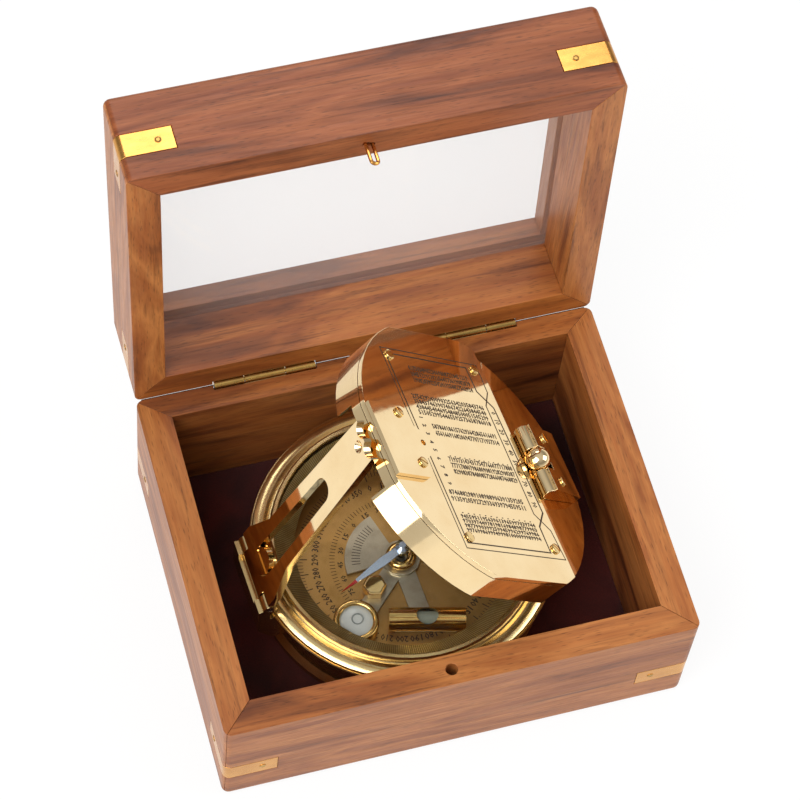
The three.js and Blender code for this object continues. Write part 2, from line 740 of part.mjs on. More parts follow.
// The clinometer turns about the pivot: hub, vernier sector and a carrier for the levels.
// Its hollow shaft passes through dial and case to the lever underneath
function addClinometer(parent) {
  const low = dialTop + fit;
  const high = low + clinoPlate;
  const turn = new THREE.Group();
  parent.add(turn);
  let plate = rodZ(clinoHubRadius, 0, 0, low, high + clinoPlate);
  const from = sectorMiddle - sectorSpan / 2;
  const to = sectorMiddle + sectorSpan / 2;
  plate = plate.add(raised(sectorOutline(clinoHubRadius * 0.8, sectorRadius, from, to), low, high, 24));
  const a = roundLevelAngle * deg;
  const levelX = roundLevelReach * Math.cos(a);
  const levelY = roundLevelReach * Math.sin(a);
  const along = clinoAngle * deg;
  const tubeX = tubeLevelOffset * Math.sin(along) + tubeLevelShift * Math.cos(along);
  const tubeY = -tubeLevelOffset * Math.cos(along) + tubeLevelShift * Math.sin(along);
  const arm = new THREE.BoxGeometry(tubeLevelOffset, clinoHubRadius, clinoPlate);
  arm.translate(tubeLevelOffset / 2, 0, (low + high) / 2);
  const toTube = arm.clone();
  toTube.rotateZ(Math.atan2(tubeY, tubeX));
  const toRound = arm.clone();
  toRound.rotateZ(a);
  plate = plate.add(solid(toTube)).add(solid(toRound));
  plate = plate.add(rodZ(roundLevelRadius * 0.8, levelX, levelY, low, high));
  const cradle = new THREE.BoxGeometry(tubeLevelLength * 0.8, tubeLevelRadius * 1.2, clinoPlate);
  cradle.rotateZ(along);
  cradle.translate(tubeX, tubeY, (low + high) / 2);
  plate = plate.add(solid(cradle));
  plate = plate.add(rodZ(clinoShaftRadius, 0, 0, leverRecess - leverThickness / 2, high));
  plate = plate.subtract(rodZ(pivotRadius + pinPlay, 0, 0, -overrun, bezelTop));
  piece('clinometer_plate', plate, brass, turn);

  const lever = new THREE.Shape();
  lever.moveTo(0, -leverWidth);
  lever.lineTo(leverLength, -leverWidth / 2);
  lever.absarc(leverLength, 0, leverWidth / 2, -Math.PI / 2, Math.PI / 2);
  lever.lineTo(0, leverWidth);
  lever.absarc(0, 0, leverWidth, Math.PI / 2, Math.PI * 1.5);
  const leverTop = leverRecess - fit;
  let arms = raised(lever, leverTop - leverThickness, leverTop);
  arms = arms.subtract(rodZ(clinoShaftRadius + pinPlay, 0, 0, leverTop - leverThickness / 2, bezelTop));
  arms = arms.subtract(rodZ(pivotRadius + pinPlay, 0, 0, -overrun, bezelTop));
  const turnedLever = piece('clinometer_lever', arms, brass, turn);
  turnedLever.rotation.z = along;

  const cupBottom = high + glueLine;
  const cupTop = cupBottom + roundLevelHeight;
  const cup = turned([
    [0, cupBottom],
    [roundLevelRadius, cupBottom],
    [roundLevelRadius, cupTop - roundLevelWall],
    [roundLevelRadius - roundLevelWall / 2, cupTop],
    [roundLevelRadius - roundLevelWall, cupTop],
    [roundLevelRadius - roundLevelWall, cupBottom + roundLevelWall],
    [0, cupBottom + roundLevelWall],
  ], levelSteps);
  const cupMesh = piece('round_level_cup', cup, brass, turn);
  cupMesh.position.set(levelX, levelY, 0);
  const vialRadius = roundLevelRadius - roundLevelWall - glueLine;
  const vialFloor = cupBottom + roundLevelWall + glueLine;
  const vial = turned([
    [0, vialFloor],
    [vialRadius, vialFloor],
    [vialRadius, cupTop - roundLevelWall / 3],
    [vialRadius * 0.7, cupTop + roundLevelWall / 4],
    [0, cupTop + roundLevelWall / 2],
  ], levelSteps);
  const vialMesh = piece('round_level_vial', vial, vialGreen, turn);
  vialMesh.position.set(levelX, levelY, 0);

  const tube = new THREE.Group();
  tube.position.set(tubeX, tubeY, high + glueLine + tubeLevelRadius);
  tube.rotation.z = along;
  turn.add(tube);
  const half = tubeLevelLength / 2;
  let barrel = rodX(tubeLevelRadius, 0, 0, -half, half, smallSteps);
  const boreHalf = half - tubeLevelWall;
  const bore = tubeLevelRadius - tubeLevelWall;
  barrel = barrel.subtract(rodX(bore, 0, 0, -boreHalf, boreHalf));
  const windowHalf = tubeWindowWidth / 2;
  const window = new THREE.CylinderGeometry(windowHalf, windowHalf, overrun, smallSteps);
  window.scale(tubeWindowLength / tubeWindowWidth, 1, 1);
  window.rotateX(Math.PI / 2);
  window.translate(0, 0, overrun / 2);
  barrel = barrel.subtract(solid(window));
  piece('tube_level_barrel', barrel, brass, tube);
  const vialHalf = boreHalf - fit;
  piece('tube_level_vial', rodX(bore - fit, 0, 0, -vialHalf, vialHalf), vialGreen, tube);
}

// Fixed hinge lug: a block on the case side with two ears round the axis.
// side is +1 for the cover's lug and -1 for the sight arm's
function hingeLug(side, axisX, axisZ, out, knuckleRadius, middle, pinRadius) {
  const inner = side * (caseRadius - caseWall / 2);
  const outer = axisX + side * out;
  const profile = polygon([
    [inner, caseHeight - lugDrop],
    [side * (caseRadius + caseWall / 2), caseHeight - lugDrop],
    [outer, caseHeight - lugDrop / 2],
    [outer, axisZ],
    [axisX, axisZ],
    [axisX, caseHeight],
    [inner, caseHeight],
  ]);
  const half = middle / 2 + earGap + earLength;
  let lug = drawnAlongY(profile, half);
  lug = lug.add(rodY(knuckleRadius, axisX, axisZ, -half, half));
  lug = lug.subtract(rodZ(bezelRadius + fit, 0, 0, caseHeight, coverRim, roundSteps));
  lug = lug.subtract(rodZ(caseRadius + fit, 0, 0, -overrun, caseHeight + overrun, roundSteps));
  const gapHalf = middle / 2 + earGap;
  const room = knuckleRadius + fit;
  const clear = block(-overrun, overrun, -gapHalf, gapHalf, -room, overrun);
  lug = lug.subtract(clear.translate([axisX, 0, axisZ]));
  return lug.subtract(rodY(pinRadius + pinPlay, axisX, axisZ, -half - overrun, half + overrun));
}

// The cover's outline between two heights: a circle cut by a flat on each side and by one at
// the tip. inset is measured in from the outside, and right is where the outline stops
function coverOutline(z0, z1, inset, right) {
  const disc = rodZ(coverRadius - inset, 0, 0, z0, z1, roundSteps);
  const flat = coverFlat - inset;
  return disc.intersect(block(coverTip + inset, right, -flat, flat, z0 - overrun, z1 + overrun));
}

function coverShell() {
  const right = coverRadius + overrun;
  let shell = coverOutline(coverRim, coverTop, 0, right);
  shell = shell.subtract(coverOutline(coverRim - overrun, coverUnder, coverWall, right));
  shell = shell.subtract(
    block(
      coverTip - overrun, coverTip + overrun,
      notchShift - notchHalfWidth, notchShift + notchHalfWidth,
      coverRim - overrun, coverRim + notchHeight
    )
  );
  const half = coverKnuckleLength / 2;
  const wallX = coverRadius - coverWall;
  const webTop = (coverRim + coverTop) / 2;
  const web = drawnAlongY(polygon([
    [wallX + glueLine, coverRim],
    [coverHingeX, coverRim],
    [coverHingeX + coverKnuckleRadius, coverHingeZ],
    [coverRadius, webTop],
    [wallX + glueLine, webTop],
  ]), half);
  shell = shell.add(web).add(rodY(coverKnuckleRadius, coverHingeX, coverHingeZ, -half, half));
  const bore = coverPinRadius + pinPlay;
  return shell.subtract(rodY(bore, coverHingeX, coverHingeZ, -half - overrun, half + overrun));
}

// The plate at the cover's tip, with a round lobe for the sight hole in its inner edge
function tipPlate() {
  const h = tipPlateHalfWidth;
  const c = tipPlateCorner;
  const end = coverTip + tipPlateLength;
  const outline = new THREE.Shape();
  outline.moveTo(coverTip, -h);
  outline.lineTo(end - c, -h);
  outline.absarc(end - c, c - h, c, -Math.PI / 2, 0);
  outline.absarc(end - c, h - c, c, 0, Math.PI / 2);
  outline.lineTo(coverTip, h);
  const low = tableTop + glueLine;
  const high = low + tipPlateThickness;
  const plate = raised(outline, low, high, 8).add(rodZ(tipPlateLobe, end - tipPlateLobeIn, 0, low, high));
  return plate.subtract(rodZ(sightHole, end + sightHoleOut, 0, low - overrun, low + overrun));
}

// Wedge block on the cover beside its hinge, with a rolled edge
function sightBlock() {
  const z = coverTop + glueLine;
  const low = z + blockLow;
  const high = z + blockHigh;
  const profile = polygon([
    [blockInner, z],
    [blockInner + blockLength, z],
    [blockInner + blockLength, low],
    [blockInner, high],
  ]);
  const half = blockWidth / 2;
  const barrel = rodY(blockBarrel, blockInner, z + blockBarrel + fit, -half, half);
  const rolled = drawnAlongY(profile, half).add(barrel);
  const ball = blockBallRadius;
  return rolled.subtract(rodY(ball + fit, blockInner, z + ball, -ball, ball));
}

function knuckleBall() {
  const ball = new THREE.SphereGeometry(blockBallRadius, smallSteps, smallSteps / 2);
  const z = coverTop + glueLine + blockBallRadius;
  ball.translate(blockInner, 0, z);
  const floor = coverTop + glueLine;
  const above = block(0, 2 * coverRadius, -coverRadius, coverRadius, floor, 2 * coverTop);
  return solid(ball).intersect(above);
}

function addCover(parent) {
  const lug = hingeLug(
    1, coverHingeX, coverHingeZ, coverLugOut, coverKnuckleRadius, coverKnuckleLength, coverPinRadius
  );
  piece('cover_hinge_lug', lug, brass, parent);
  const pinHalf = coverKnuckleLength / 2 + earGap + earLength;
  const pin = rodY(coverPinRadius, coverHingeX, coverHingeZ, -pinHalf, pinHalf);
  piece('cover_hinge_pin', pin, steel, parent);
  const swing = new THREE.Group();
  swing.position.set(coverHingeX, 0, coverHingeZ);
  swing.rotation.y = coverOpenAngle * deg;
  parent.add(swing);
  const cover = new THREE.Group();
  cover.position.set(-coverHingeX, 0, -coverHingeZ);
  swing.add(cover);
  piece('cover_shell', coverShell(), brass, cover);
  piece('table_plate', coverOutline(coverTop + glueLine, tableTop, 0, tableEdgeX), brass, cover);
  const mirrorRadius = coverRadius - mirrorInset;
  const mirrorTop = coverUnder - glueLine;
  const mirror = rodZ(mirrorRadius, 0, 0, mirrorTop - mirrorThickness, mirrorTop, roundSteps);
  piece('cover_mirror', mirror, silvered, cover);
  piece('tip_plate', tipPlate(), brass, cover);
  piece('sight_block', sightBlock(), brass, cover);
  piece('sight_block_ball', knuckleBall(), brass, cover);
}

// Sight arm in its own frame: the hinge axis is Y through the origin and the arm runs along +X.
// Its root is flared, its shank is slotted and its tip ends in two scallops
function armBody() {
  const root = armRootWidth / 2;
  const waist = armWaistWidth / 2;
  const tip = armTipWidth / 2;
  const neck = armKnuckleLength / 2;
  const plan = polygon([
    [0, -neck],
    [armNeck, -neck],
    [armNeck, -root],
    [armRootEnd, -root],
    [armWaistAt, -waist],
    [armLength, -tip],
    [armLength, tip],
    [armWaistAt, waist],
    [armRootEnd, root],
    [armNeck, root],
    [armNeck, neck],
    [0, neck],
  ]);
  let arm = raised(plan, -armUnder, armOver).add(rodY(armOver, 0, 0, -neck, neck));
  for (const side of [-1, 1]) {
    const across = (side * scallopApart) / 2;
    arm = arm.subtract(rodZ(scallopRadius, armLength + scallopOut, across, -overrun, overrun));
  }
  const slot = new THREE.Shape();
  slot.moveTo(armSlotStart, -armSlotRadius);
  slot.lineTo(armSlotEnd, -armSlotTipRadius);
  slot.absarc(armSlotEnd, 0, armSlotTipRadius, -Math.PI / 2, Math.PI / 2);
  slot.lineTo(armSlotStart, armSlotRadius);
  arm = arm.subtract(raised(slot, -overrun, overrun));
  const seat = new THREE.Shape();
  seat.moveTo(armScrewAt, -armSlotRadius);
  seat.lineTo(armSlotStart + armSlotRadius, -armSlotRadius);
  seat.lineTo(armSlotStart + armSlotRadius, armSlotRadius);
  seat.lineTo(armScrewAt, armSlotRadius);
  seat.absarc(armScrewAt, 0, armSlotRadius, Math.PI / 2, Math.PI * 1.5);
  arm = arm.subtract(raised(seat, armOver - armScrewSeat, overrun));
  const peepX = armLength - peepFromTip;
  arm = arm.subtract(rodZ(peepRadius, peepX, 0, -overrun, overrun));
  const sinkDepth = peepSink - peepRadius;
  const sink = new THREE.CylinderGeometry(peepSink, peepRadius, sinkDepth, smallSteps);
  sink.rotateX(Math.PI / 2);
  sink.translate(peepX, 0, armOver - sinkDepth / 2 + glueLine);
  arm = arm.subtract(solid(sink));
  return arm.subtract(rodY(armPinRadius + pinPlay, 0, 0, -neck - overrun, neck + overrun));
}

// Slotted cheese-head screw in its seat at the root of the arm
function armScrew() {
  const low = armOver - armScrewSeat + glueLine;
  const high = low + armScrewHead;
  const half = armScrewSlot / 2;
  const cut = block(-half, half, -overrun, overrun, high - armScrewSlot, high + overrun);
  const head = rodZ(armScrewRadius, armScrewAt, 0, low, high);
  return head.subtract(cut.translate([armScrewAt, 0, 0]));
}

function addSightArm(parent) {
  const mount = new THREE.Group();
  mount.rotation.z = armYaw * deg;
  parent.add(mount);
  const lug = hingeLug(
    -1, armHingeX, armHingeZ, armLugOut, armOver, armKnuckleLength, armPinRadius
  );
  piece('arm_hinge_lug', lug, brass, mount);
  const pinHalf = armKnuckleLength / 2 + earGap + earLength;
  const pin = rodY(armPinRadius, armHingeX, armHingeZ, -pinHalf, pinHalf);
  piece('arm_hinge_pin', pin, steel, mount);
  const arm = new THREE.Group();
  arm.position.set(armHingeX, 0, armHingeZ);
  arm.rotation.y = -armAngle * deg;
  mount.add(arm);
  piece('sight_arm', armBody(), brass, arm);
  piece('sight_arm_screw', armScrew(), brass, arm);
}

const compassBox = new THREE.Group();
addBase(compassBox);
addHinges(compassBox);
addLid(compassBox);

const compass = new THREE.Group();
compass.position.set(compassX, compassY, floorTop + fit);
compass.rotation.z = compassYaw * deg;
compassBox.add(compass);
addCase(compass);
addBezel(compass);
addDial(compass);
addPivotAndNeedle(compass);
addClinometer(compass);
addCover(compass);
addSightArm(compass);

export default compassBox;
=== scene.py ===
"""Boxed pocket transit compass: finishes, screws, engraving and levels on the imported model."""

import math

import bmesh
import bpy
from mathutils import Matrix, Vector


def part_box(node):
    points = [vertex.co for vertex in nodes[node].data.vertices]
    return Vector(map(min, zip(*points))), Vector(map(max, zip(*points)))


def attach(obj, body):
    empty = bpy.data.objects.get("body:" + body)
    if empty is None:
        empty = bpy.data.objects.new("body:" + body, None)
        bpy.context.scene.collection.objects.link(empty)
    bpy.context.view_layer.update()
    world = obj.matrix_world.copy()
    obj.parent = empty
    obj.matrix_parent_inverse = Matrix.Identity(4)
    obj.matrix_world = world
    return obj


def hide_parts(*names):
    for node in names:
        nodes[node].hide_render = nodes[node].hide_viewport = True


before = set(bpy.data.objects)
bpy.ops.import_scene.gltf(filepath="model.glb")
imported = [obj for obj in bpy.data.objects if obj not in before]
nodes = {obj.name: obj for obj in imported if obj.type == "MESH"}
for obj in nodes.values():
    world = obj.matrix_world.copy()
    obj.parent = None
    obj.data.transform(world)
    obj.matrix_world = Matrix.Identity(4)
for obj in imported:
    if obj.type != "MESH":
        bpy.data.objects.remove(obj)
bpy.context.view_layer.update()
scene = bpy.context.scene

MM = 0.001

# The box, and the places of the compass, its cover and the lid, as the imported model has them,
# in millimetres and degrees
BOX_HALF_LENGTH = 65
BOX_HALF_WIDTH = 50.5
BASE_HEIGHT = 41
LID_GAP = 0.3
LID_OPEN = 93.86
COMPASS_AT = (-1.9, 0.6, 3.3)
COMPASS_YAW = 5.74
COVER_AXIS = (44.5, 0, 23.1)
COVER_OPEN = 43
SECTOR_MIDDLE = 140
NEEDLE_HEADING = 199
RED_TIP_FROM = 16.3
RED_TIP_BLEND = 0.2


def turn(degrees, axis):
    return Matrix.Rotation(math.radians(degrees), 4, axis)


def shift(x, y, z):
    return Matrix.Translation((x * MM, y * MM, z * MM))


COMPASS = shift(*COMPASS_AT) @ turn(COMPASS_YAW, "Z")
COVER = COMPASS @ shift(*COVER_AXIS) @ turn(COVER_OPEN, "Y") @ shift(*[-v for v in COVER_AXIS])
LID = (
    shift(0, BOX_HALF_WIDTH, BASE_HEIGHT) @ turn(-LID_OPEN, "X") @ shift(0, -BOX_HALF_WIDTH, LID_GAP)
)


# Materials


def hexa(code):
    """An sRGB hex colour as linear red, green, blue and alpha."""
    channels = [int(code[i : i + 2], 16) / 255 for i in (1, 3, 5)]
    return [c / 12.92 if c <= 0.04045 else ((c + 0.055) / 1.055) ** 2.4 for c in channels] + [1]


def grey(value):
    return [value, value, value, 1]


def add(tree, kind, settings=None, **links):
    """A node with its attributes and socket values set, and its inputs linked. Socket names hold
    an underscore for a space, and i with a number is a socket's place. Stops are the places and
    colours of a colour ramp."""
    node = tree.nodes.new(kind)
    for key, value in (settings or {}).items():
        if key == "stops":
            elements = node.color_ramp.elements
            elements.remove(elements[0])
            elements[0].position, elements[0].color = value[0]
            for place, colour in value[1:]:
                elements.new(place).color = colour
        elif isinstance(key, int) or key in node.inputs:
            node.inputs[key].default_value = value
        else:
            setattr(node, key, value)
    for key, source in links.items():
        name = int(key[1:]) if key[0] == "i" and key[1:].isdigit() else key.replace("_", " ")
        tree.links.new(node.inputs[name], source)
    return node


def new_material(name):
    material = bpy.data.materials.new(name)
    material.use_nodes = True
    tree = material.node_tree
    tree.nodes.clear()
    shader = tree.nodes.new("ShaderNodeBsdfPrincipled")
    output = tree.nodes.new("ShaderNodeOutputMaterial")
    tree.links.new(output.inputs["Surface"], shader.outputs["BSDF"])
    return material, tree, shader


def polished_brass(name, colour="#EBCB8C", rough=(0.05, 0.14), tarnish="#C9984A", amount=0.35):
    """Cast brass, turned and buffed. Clean mirror reflections, faint wheel marks and a little
    tarnish that warms the colour in patches."""
    material, tree, shader = new_material(name)
    where = add(tree, "ShaderNodeTexCoord").outputs["Object"]
    # Tarnish patches, about 12 mm
    patches = add(
        tree, "ShaderNodeTexNoise", {"Scale": 80, "Detail": 4, "Roughness": 0.6}, Vector=where
    )
    patch = add(
        tree, "ShaderNodeValToRGB", {"stops": [(0.42, grey(0)), (0.75, grey(amount))]},
        Fac=patches.outputs["Fac"],
    )
    toned = add(
        tree, "ShaderNodeMix", {"data_type": "RGBA", 6: hexa(colour), 7: hexa(tarnish)},
        i0=patch.outputs["Color"],
    )
    tree.links.new(shader.inputs["Base Color"], toned.outputs[2])
    # Buffing smears, about 3 mm, drawn out one way
    stretched = add(tree, "ShaderNodeMapping", {"Scale": (120, 380, 380)}, Vector=where)
    smears = add(
        tree, "ShaderNodeTexNoise", {"Scale": 1, "Detail": 5, "Roughness": 0.65},
        Vector=stretched.outputs[0],
    )
    rougher = add(
        tree, "ShaderNodeMapRange",
        {"From Min": 0.3, "From Max": 0.75, "To Min": rough[0], "To Max": rough[1]},
        Value=smears.outputs["Fac"],
    )
    tree.links.new(shader.inputs["Roughness"], rougher.outputs[0])
    # The hand-buffed surface waves a little, about 9 mm apart
    waves = add(
        tree, "ShaderNodeTexNoise", {"Scale": 110, "Detail": 2, "Roughness": 0.4}, Vector=where
    )
    bump = add(
        tree, "ShaderNodeBump", {"Strength": 0.05, "Distance": 0.4 * MM}, Height=waves.outputs["Fac"]
    )
    tree.links.new(shader.inputs["Normal"], bump.outputs["Normal"])
    shader.inputs["Metallic"].default_value = 1
    return material


def turned_metal(name, colour, rough):
    """Brass or nickel silver left as turned: fine rings from the tool and brown stains, duller
    than the polished cover."""
    material, tree, shader = new_material(name)
    where = add(tree, "ShaderNodeTexCoord").outputs["Object"]
    centred = add(
        tree, "ShaderNodeMapping", {"Location": tuple(-v * MM for v in COMPASS_AT)}, Vector=where
    )
    # Tool marks 0.4 mm apart, round the compass's middle
    rings = add(
        tree, "ShaderNodeTexWave",
        {"wave_type": "RINGS", "rings_direction": "Z", "Scale": 800, "Distortion": 0.4, "Detail": 1},
        Vector=centred.outputs[0],
    )
    # Stains, about 7 mm
    stain = add(
        tree, "ShaderNodeTexNoise", {"Scale": 140, "Detail": 5, "Roughness": 0.6}, Vector=where
    )
    stained = add(
        tree, "ShaderNodeValToRGB", {"stops": [(0.45, grey(0)), (0.8, grey(0.5))]},
        Fac=stain.outputs["Fac"],
    )
    toned = add(
        tree, "ShaderNodeMix", {"data_type": "RGBA", 6: hexa(colour), 7: hexa("#6E5026")},
        i0=stained.outputs["Color"],
    )
    tree.links.new(shader.inputs["Base Color"], toned.outputs[2])
    rougher = add(
        tree, "ShaderNodeMapRange", {"To Min": rough, "To Max": rough + 0.15},
        Value=stain.outputs["Fac"],
    )
    tree.links.new(shader.inputs["Roughness"], rougher.outputs[0])
    bump = add(
        tree, "ShaderNodeBump", {"Strength": 0.12, "Distance": 0.1 * MM}, Height=rings.outputs["Fac"]
    )
    tree.links.new(shader.inputs["Normal"], bump.outputs["Normal"])
    shader.inputs["Metallic"].default_value = 1
    return material


def divided_brass(name, lines=360):
    """The chamfer that carries the degree circle: silvery brass under fine engraved radial
    lines, one to a degree."""
    material, tree, shader = new_material(name)
    where = add(tree, "ShaderNodeTexCoord").outputs["Object"]
    centred = add(
        tree, "ShaderNodeMapping",
        {"vector_type": "TEXTURE", "Location": tuple(v * MM for v in COMPASS_AT),
         "Rotation": (0, 0, math.radians(COMPASS_YAW))},
        Vector=where,
    )
    parts = add(tree, "ShaderNodeSeparateXYZ", {}, Vector=centred.outputs[0])
    angle = add(
        tree, "ShaderNodeMath", {"operation": "ARCTAN2"}, i0=parts.outputs["Y"], i1=parts.outputs["X"]
    )
    turns = add(tree, "ShaderNodeMath", {"operation": "MULTIPLY", 1: lines}, i0=angle.outputs[0])
    comb = add(tree, "ShaderNodeMath", {"operation": "SINE"}, i0=turns.outputs[0])
    line = add(tree, "ShaderNodeMapRange", {"From Min": 0.0, "From Max": 0.75}, Value=comb.outputs[0])
    # Stains, about 6 mm
    stain = add(tree, "ShaderNodeTexNoise", {"Scale": 180, "Detail": 4}, Vector=where)
    stained = add(
        tree, "ShaderNodeValToRGB", {"stops": [(0.4, grey(0)), (0.7, grey(1))]},
        Fac=stain.outputs["Fac"],
    )
    ground = add(
        tree, "ShaderNodeMix", {"data_type": "RGBA", 6: hexa("#D9C690"), 7: hexa("#BDA468")},
        i0=stained.outputs["Color"],
    )
    inked = add(
        tree, "ShaderNodeMix", {"data_type": "RGBA", 7: hexa("#917A48")}, i0=line.outputs[0],
        i6=ground.outputs[2],
    )
    tree.links.new(shader.inputs["Base Color"], inked.outputs[2])
    bump = add(
        tree, "ShaderNodeBump", {"Strength": 0.5, "Distance": 0.15 * MM}, Height=comb.outputs[0]
    )
    tree.links.new(shader.inputs["Normal"], bump.outputs["Normal"])
    shader.inputs["Metallic"].default_value = 0.9
    shader.inputs["Roughness"].default_value = 0.36
    return material


def sheesham(name, along, offset, light="#B5733C", mid="#965629", dark="#5A2E17"):
    """Sheesham, an Indian rosewood, planed, sanded and varnished satin. Wandering dark bands on
    a red-brown ground, with short dark pores along the grain."""
    material, tree, shader = new_material(name)
    where = add(tree, "ShaderNodeTexCoord").outputs["Object"]

    def grain(across_mm, along_mm, place):
        scale = [1000 / across_mm] * 3
        scale["XYZ".index(along)] = 1000 / along_mm
        return add(
            tree, "ShaderNodeMapping",
            {"Location": [v + place for v in offset], "Scale": scale}, Vector=where,
        ).outputs[0]

    # Growth bands about 13 mm apart that run 90 mm before they wander off
    bands = add(
        tree, "ShaderNodeTexNoise", {"Scale": 1, "Detail": 4, "Roughness": 0.55, "Distortion": 1.1},
        Vector=grain(13, 90, 0),
    )
    # Thin dark lines inside the bands, about 2 mm apart
    lines = add(
        tree, "ShaderNodeTexNoise", {"Scale": 1, "Detail": 6, "Roughness": 0.7, "Distortion": 0.3},
        Vector=grain(2.2, 60, 3),
    )
    # Fibre, about 0.6 mm
    fibre = add(
        tree, "ShaderNodeTexNoise", {"Scale": 1, "Detail": 3, "Roughness": 0.6},
        Vector=grain(0.6, 14, 7),
    )
    # Open pores, dark dashes 4 mm long and 0.5 mm wide
    pores = add(
        tree, "ShaderNodeTexVoronoi", {"feature": "F1", "Scale": 1, "Randomness": 1},
        Vector=grain(0.55, 4.5, 11),
    )
    ground = add(
        tree, "ShaderNodeValToRGB",
        {"stops": [
            (0.28, hexa(dark)), (0.42, hexa(mid)), (0.56, hexa(light)), (0.7, hexa(mid)),
            (0.84, hexa(dark)),
        ]},
        Fac=bands.outputs["Fac"],
    ).outputs["Color"]
    for share, pattern, stops in (
        (0.6, lines.outputs["Fac"],
         [(0.32, hexa("#6A4236")), (0.46, grey(1)), (0.72, hexa("#C79468"))]),
        (0.35, fibre.outputs["Fac"], [(0.3, grey(0.55)), (0.6, grey(1))]),
        (0.6, pores.outputs["Distance"], [(0.1, grey(0.3)), (0.28, grey(1))]),
    ):
        shade = add(tree, "ShaderNodeValToRGB", {"stops": stops}, Fac=pattern)
        ground = add(
            tree, "ShaderNodeMix", {"data_type": "RGBA", "blend_type": "MULTIPLY", 0: share},
            i6=ground, i7=shade.outputs["Color"],
        ).outputs[2]
    tree.links.new(shader.inputs["Base Color"], ground)
    rougher = add(
        tree, "ShaderNodeMapRange", {"From Min": 0.3, "From Max": 0.7, "To Min": 0.5, "To Max": 0.34},
        Value=fibre.outputs["Fac"],
    )
    tree.links.new(shader.inputs["Roughness"], rougher.outputs[0])
    shader.inputs["Specular IOR Level"].default_value = 0.3
    shader.inputs["Coat Weight"].default_value = 0.1
    shader.inputs["Coat Roughness"].default_value = 0.3
    bump = add(tree, "ShaderNodeBump", {"Strength": 0.25, "Distance": 0.08 * MM}, Height=ground)
    tree.links.new(shader.inputs["Normal"], bump.outputs["Normal"])
    return material


def clear_glass(name, tint, alpha, rough=0.02):
    """Clear float glass: almost unseen, apart from its reflections."""
    material, tree, shader = new_material(name)
    where = add(tree, "ShaderNodeTexCoord").outputs["Object"]
    # Wiping marks, about 15 mm
    smear = add(tree, "ShaderNodeTexNoise", {"Scale": 66, "Detail": 3}, Vector=where)
    rougher = add(
        tree, "ShaderNodeMapRange", {"To Min": rough, "To Max": rough + 0.05},
        Value=smear.outputs["Fac"],
    )
    tree.links.new(shader.inputs["Roughness"], rougher.outputs[0])
    shader.inputs["Base Color"].default_value = hexa(tint)
    shader.inputs["Alpha"].default_value = alpha
    return material


def silvered_glass(name):
    """A silvered mirror: a clean cool reflection."""
    material, _, shader = new_material(name)
    shader.inputs["Metallic"].default_value = 1
    shader.inputs["Base Color"].default_value = hexa("#DDE2E2")
    shader.inputs["Roughness"].default_value = 0.02
    return material


def ground_steel(name, colour="#C4CCD6", rough=0.12):
    """Ground and polished steel: pale, a little blue, with fine scratches."""
    material, tree, shader = new_material(name)
    where = add(tree, "ShaderNodeTexCoord").outputs["Object"]
    # Scratches, drawn 1 mm coarse so that they show
    scratches = add(
        tree, "ShaderNodeTexNoise", {"Scale": 900, "Detail": 3, "Roughness": 0.7}, Vector=where
    )
    rougher = add(
        tree, "ShaderNodeMapRange", {"To Min": rough, "To Max": rough + 0.12},
        Value=scratches.outputs["Fac"],
    )
    tree.links.new(shader.inputs["Roughness"], rougher.outputs[0])
    shader.inputs["Base Color"].default_value = hexa(colour)
    shader.inputs["Metallic"].default_value = 1
    return material


def needle_steel(name):
    """Magnetised steel blade, polished, with the tip of its north end lacquered red."""
    material, tree, shader = new_material(name)
    where = add(tree, "ShaderNodeTexCoord").outputs["Object"]
    along_needle = add(
        tree, "ShaderNodeMapping",
        {"vector_type": "TEXTURE", "Location": tuple(v * MM for v in COMPASS_AT),
         "Rotation": (0, 0, math.radians(COMPASS_YAW + NEEDLE_HEADING))},
        Vector=where,
    )
    reach = add(tree, "ShaderNodeSeparateXYZ", {}, Vector=along_needle.outputs[0]).outputs["X"]
    red = add(
        tree, "ShaderNodeMapRange",
        {"From Min": RED_TIP_FROM * MM, "From Max": (RED_TIP_FROM + RED_TIP_BLEND) * MM}, Value=reach,
    ).outputs[0]
    mixed = add(
        tree, "ShaderNodeMix", {"data_type": "RGBA", 6: hexa("#C3CFDE"), 7: hexa("#B02A20")}, i0=red
    )
    tree.links.new(shader.inputs["Base Color"], mixed.outputs[2])
    metal = add(tree, "ShaderNodeMapRange", {"To Min": 1, "To Max": 0}, Value=red)
    tree.links.new(shader.inputs["Metallic"], metal.outputs[0])
    shader.inputs["Roughness"].default_value = 0.2
    return material


